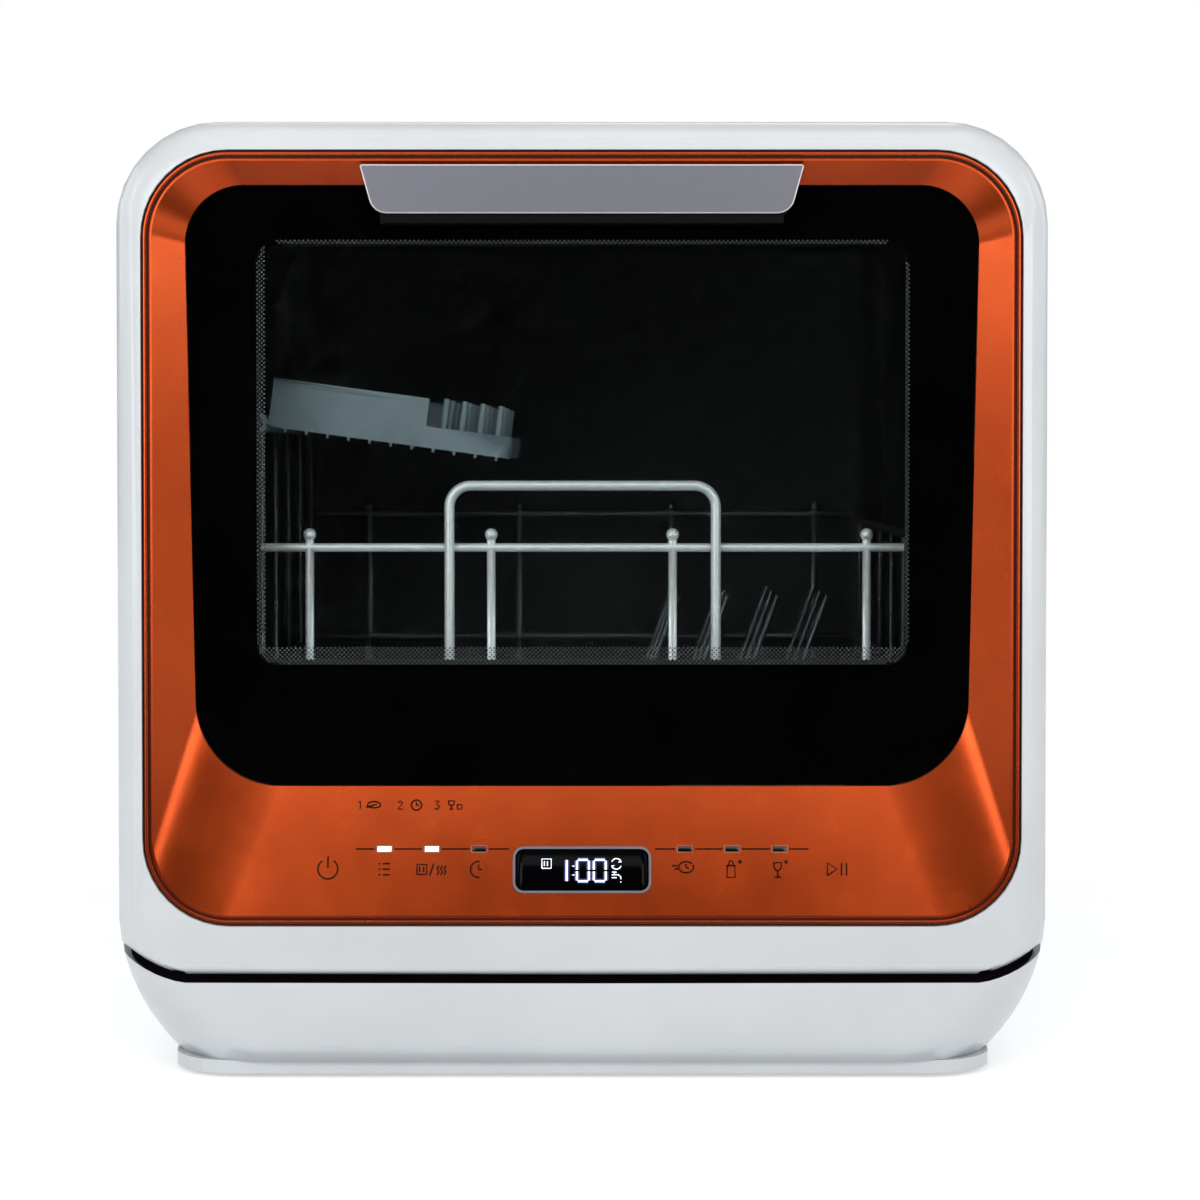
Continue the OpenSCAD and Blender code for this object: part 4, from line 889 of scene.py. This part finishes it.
draw("light_rims", rims, OPENING_NIB, "light_rim", lift=0.05)
print(len(rims), "lights")

# %% [markdown]
# ## The display
#
# A segment display shows a time of one hour. Its digits are drawn with the same pen in a
# lit finish, with a wider and dimmer line of blue behind them for the glow, because light
# spreads in the smoked acrylic. Small signs stand on either side of the time.

# %% The display
GLOW_NIB, DIGIT_NIB, SIGN_NIB = 2.3, 0.95, 0.45
digits = [[(-6.9, 4.4), (-6.9, -5.0)], [(-3.9, 1.9), (-3.9, 1.5)], [(-3.9, -2.1), (-3.9, -2.5)]]
for x in (0.4, 8.0):
    digits += [[(x - 2.3, z), (x + 2.3, z)] for z in (4.5, -5.1)]
    digits += [[(x + bar, foot), (x + bar, foot + 4)]
               for bar in (-2.7, 2.7) for foot in (-4.7, 0.1)]
signs = [oblong(-16.0, 2.8, 4.2, 4.2), [(-17, 1.7), (-17, 3.9)], [(-15.6, 1.7), (-15.6, 3.9)],
         bow(15.5, 2.9, 2.2, 20, 160), bow(15.5, 2.5, 2.2, 200, 340),
         [(17.0, 4.8), (17.7, 3.6), (16.4, 3.5)], [(14.0, 0.6), (13.3, 1.8), (14.6, 1.9)],
         [(13.4, -2.2), (16.4, -2.2), (17.5, -3.2), (17.5, -4.2)],
         [(13.4, -3.5), (15.6, -3.5)], [(14.6, -2.2), (14.6, -1.1)],
         [(13.6, -1.0), (15.6, -1.0)], [(17.5, -5.2), (17.5, -5.7)]]
draw("display_glow", digits, GLOW_NIB, "digit_glow", lift=0.12)
draw("display_digits", digits, DIGIT_NIB, "digit", lift=0.3)
draw("display_signs", signs, SIGN_NIB, "digit", lift=0.2)
print(len(digits) + len(signs), "strokes lit")

# %% [markdown]
# ## Camera
#
# The picture is taken with a long lens from a little above the machine's middle, almost
# square to the door. The camera leans down a little, and a small shift keeps the upright
# edges upright.

# %% Camera
EYE, LEAN, LENS, SHIFT = (0.0081, -1.5175, 0.287), 1.38, 87.225, -0.0662
bpy.ops.object.camera_add(location=EYE, rotation=(math.radians(90 - LEAN), 0, 0))
camera = bpy.context.object
camera.data.lens = LENS
camera.data.sensor_width = 36
camera.data.shift_y = SHIFT
camera.data.clip_start = 0.05
bpy.context.scene.camera = camera
print("camera", round(-EYE[1] + machine_box[0].y, 2), "m in front of the door")

# %% [markdown]
# ## Lamps
#
# All lamps are large soft boxes. One hangs above and in front, and a low one below it
# lights the sloping panel. Two in front, at the sides, draw the light edges along the
# orange, and two strips beside them brighten the casing's round rims. Two wide ones wash
# the sides, and one lights the back.

# %% Lamps
# Each lamp: its place, the point it faces, its width and height in metres, and its watts
LAMPS = {
    "top_box": ((0.0, -0.9, 1.9), (0, -0.1, 0.2), 1.8, 1.3, 11.5),
    "left_box": ((-0.72, -1.45, 0.5), (0, -0.1, 0.2), 0.55, 0.7, 4.9),
    "right_box": ((0.72, -1.45, 0.5), (0, -0.1, 0.2), 0.55, 0.7, 4.5),
    "low_box": ((0.0, -1.9, 0.98), (0, -0.2, 0.2), 1.2, 0.5, 3.6),
    "back_box": ((0.0, 1.7, 1.9), (0, 0.2, 0.2), 1.2, 0.8, 6),
    "left_strip": ((-1.6, -0.8, 0.85), (0, -0.2, 0.3), 0.35, 0.8, 3.4),
    "right_strip": ((1.6, -0.8, 0.85), (0, -0.2, 0.3), 0.35, 0.8, 3.0),
    "left_wash": ((-2.1, 0.5, 1.0), (0, 0.05, 0.22), 1.2, 1.2, 7),
    "right_wash": ((2.1, 0.5, 1.0), (0, 0.05, 0.22), 1.2, 1.2, 7),
}
for name, (place, aim, width, height, watts) in LAMPS.items():
    bpy.ops.object.light_add(type="AREA", location=place)
    lamp = bpy.context.object
    lamp.name = name
    lamp.data.shape = "RECTANGLE"
    lamp.data.size, lamp.data.size_y = width, height
    lamp.data.energy = watts
    lamp.rotation_euler = (Vector(aim) - Vector(place)).to_track_quat("-Z", "Y").to_euler()
print(len(LAMPS), "lamps")

# %% [markdown]
# ## Black flags
#
# A photographer keeps dark glass dark with black cloth just outside the picture. One flag
# stands before the door and one lies on the floor. The camera doesn't see them and they
# cast no shadow: only reflections and light that came through glass meet them.

# %% Black flags
FLAGS = {
    "front_flag": ((0, -1.15, 0.25), (0.66, 0.49, 1), UPRIGHT),
    "floor_flag": ((0, -0.85, 0.002), (1.8, 1.1, 1), (0, 0, 0)),
}
cloth = blank("black_felt", Base_Color=rgb("#060606"), Roughness=1.0, Specular_IOR_Level=0.0)[0]
for name, (place, size, turn) in FLAGS.items():
    bpy.ops.mesh.primitive_plane_add(size=1, location=place, rotation=turn)
    flag = bpy.context.object
    flag.name = name
    flag.scale = size
    flag.data.materials.append(cloth)
    flag.visible_camera = flag.visible_diffuse = flag.visible_shadow = False
print(len(FLAGS), "flags")

# %% [markdown]
# ## Floor
#
# The floor is matt studio paper. It keeps the machine's shadow near the machine, and
# turns into plain white farther off. That white comes from the paper's own material, and
# only where the camera, a reflection or a glass pane looks at it, so it sheds no light
# on the machine.

# %% Floor
SHADOW_END, WHITE_START, PAPER_LIFT, FIBRE = 0.28, 0.6, 0.45, 400
bpy.ops.mesh.primitive_plane_add(size=12, location=(0, 0, machine_box[0].z))
floor = bpy.context.object
floor.name = "studio_floor"
paper, tree, shader = blank("matt_studio_paper", Roughness=0.9, Emission_Color=rgb("#ffffff"))
where = add(tree, "ShaderNodeTexCoord").outputs["Object"]
fibre = add(tree, "ShaderNodeTexNoise", {"Vector": where, "Scale": per_mm(FIBRE)})
tone = add(tree, "ShaderNodeMix", {
    0: fibre.outputs["Fac"], 6: rgb("#eceef0"), 7: rgb("#f2f3f4"),
}, data_type="RGBA")
tree.links.new(tone.outputs[2], shader.inputs["Base Color"])
rays = add(tree, "ShaderNodeLightPath").outputs
seen = rays["Is Camera Ray"]
for ray in ("Is Transmission Ray", "Is Glossy Ray"):
    seen = add(tree, "ShaderNodeMath", {0: seen, 1: rays[ray]}, operation="MAXIMUM").outputs[0]
lift = add(tree, "ShaderNodeMath", {0: seen, 1: PAPER_LIFT}, operation="MULTIPLY").outputs[0]
tree.links.new(lift, shader.inputs["Emission Strength"])
spread = add(tree, "ShaderNodeVectorMath", {0: where}, operation="LENGTH").outputs["Value"]
far_off = add(tree, "ShaderNodeMapRange", {
    "Value": spread, "From Min": SHADOW_END, "From Max": WHITE_START,
}, interpolation_type="SMOOTHSTEP").outputs[0]
share = add(tree, "ShaderNodeMath", {0: seen, 1: far_off}, operation="MULTIPLY").outputs[0]
white = add(tree, "ShaderNodeEmission", {"Color": rgb("#ffffff"), "Strength": 1.0}).outputs[0]
mixed = add(tree, "ShaderNodeMixShader", {0: share, 1: shader.outputs[0], 2: white}).outputs[0]
tree.links.new(mixed, tree.nodes["Material Output"].inputs["Surface"])
floor.data.materials.append(paper)
print("the paper is white from", WHITE_START, "m")

# %% [markdown]
# ## The air of the studio
#
# The world is white where the camera or a pane looks at it, and dim for all other light,
# where it only fills the shade.

# %% The air of the studio
FILL = 0.22
world = bpy.data.worlds.new("studio_air")
world.use_nodes = True
bpy.context.scene.world = world
tree = world.node_tree
rays = add(tree, "ShaderNodeLightPath").outputs
seen = add(tree, "ShaderNodeMath", {
    0: rays["Is Camera Ray"], 1: rays["Is Transmission Ray"],
}, operation="MAXIMUM").outputs[0]
strength = add(tree, "ShaderNodeMapRange", {"Value": seen, "To Min": FILL, "To Max": 1.0})
sky = tree.nodes["Background"]
sky.inputs["Color"].default_value = rgb("#ffffff")
tree.links.new(strength.outputs[0], sky.inputs["Strength"])
bpy.context.scene.view_settings.view_transform = "Standard"
print("the air fills with a strength of", FILL)
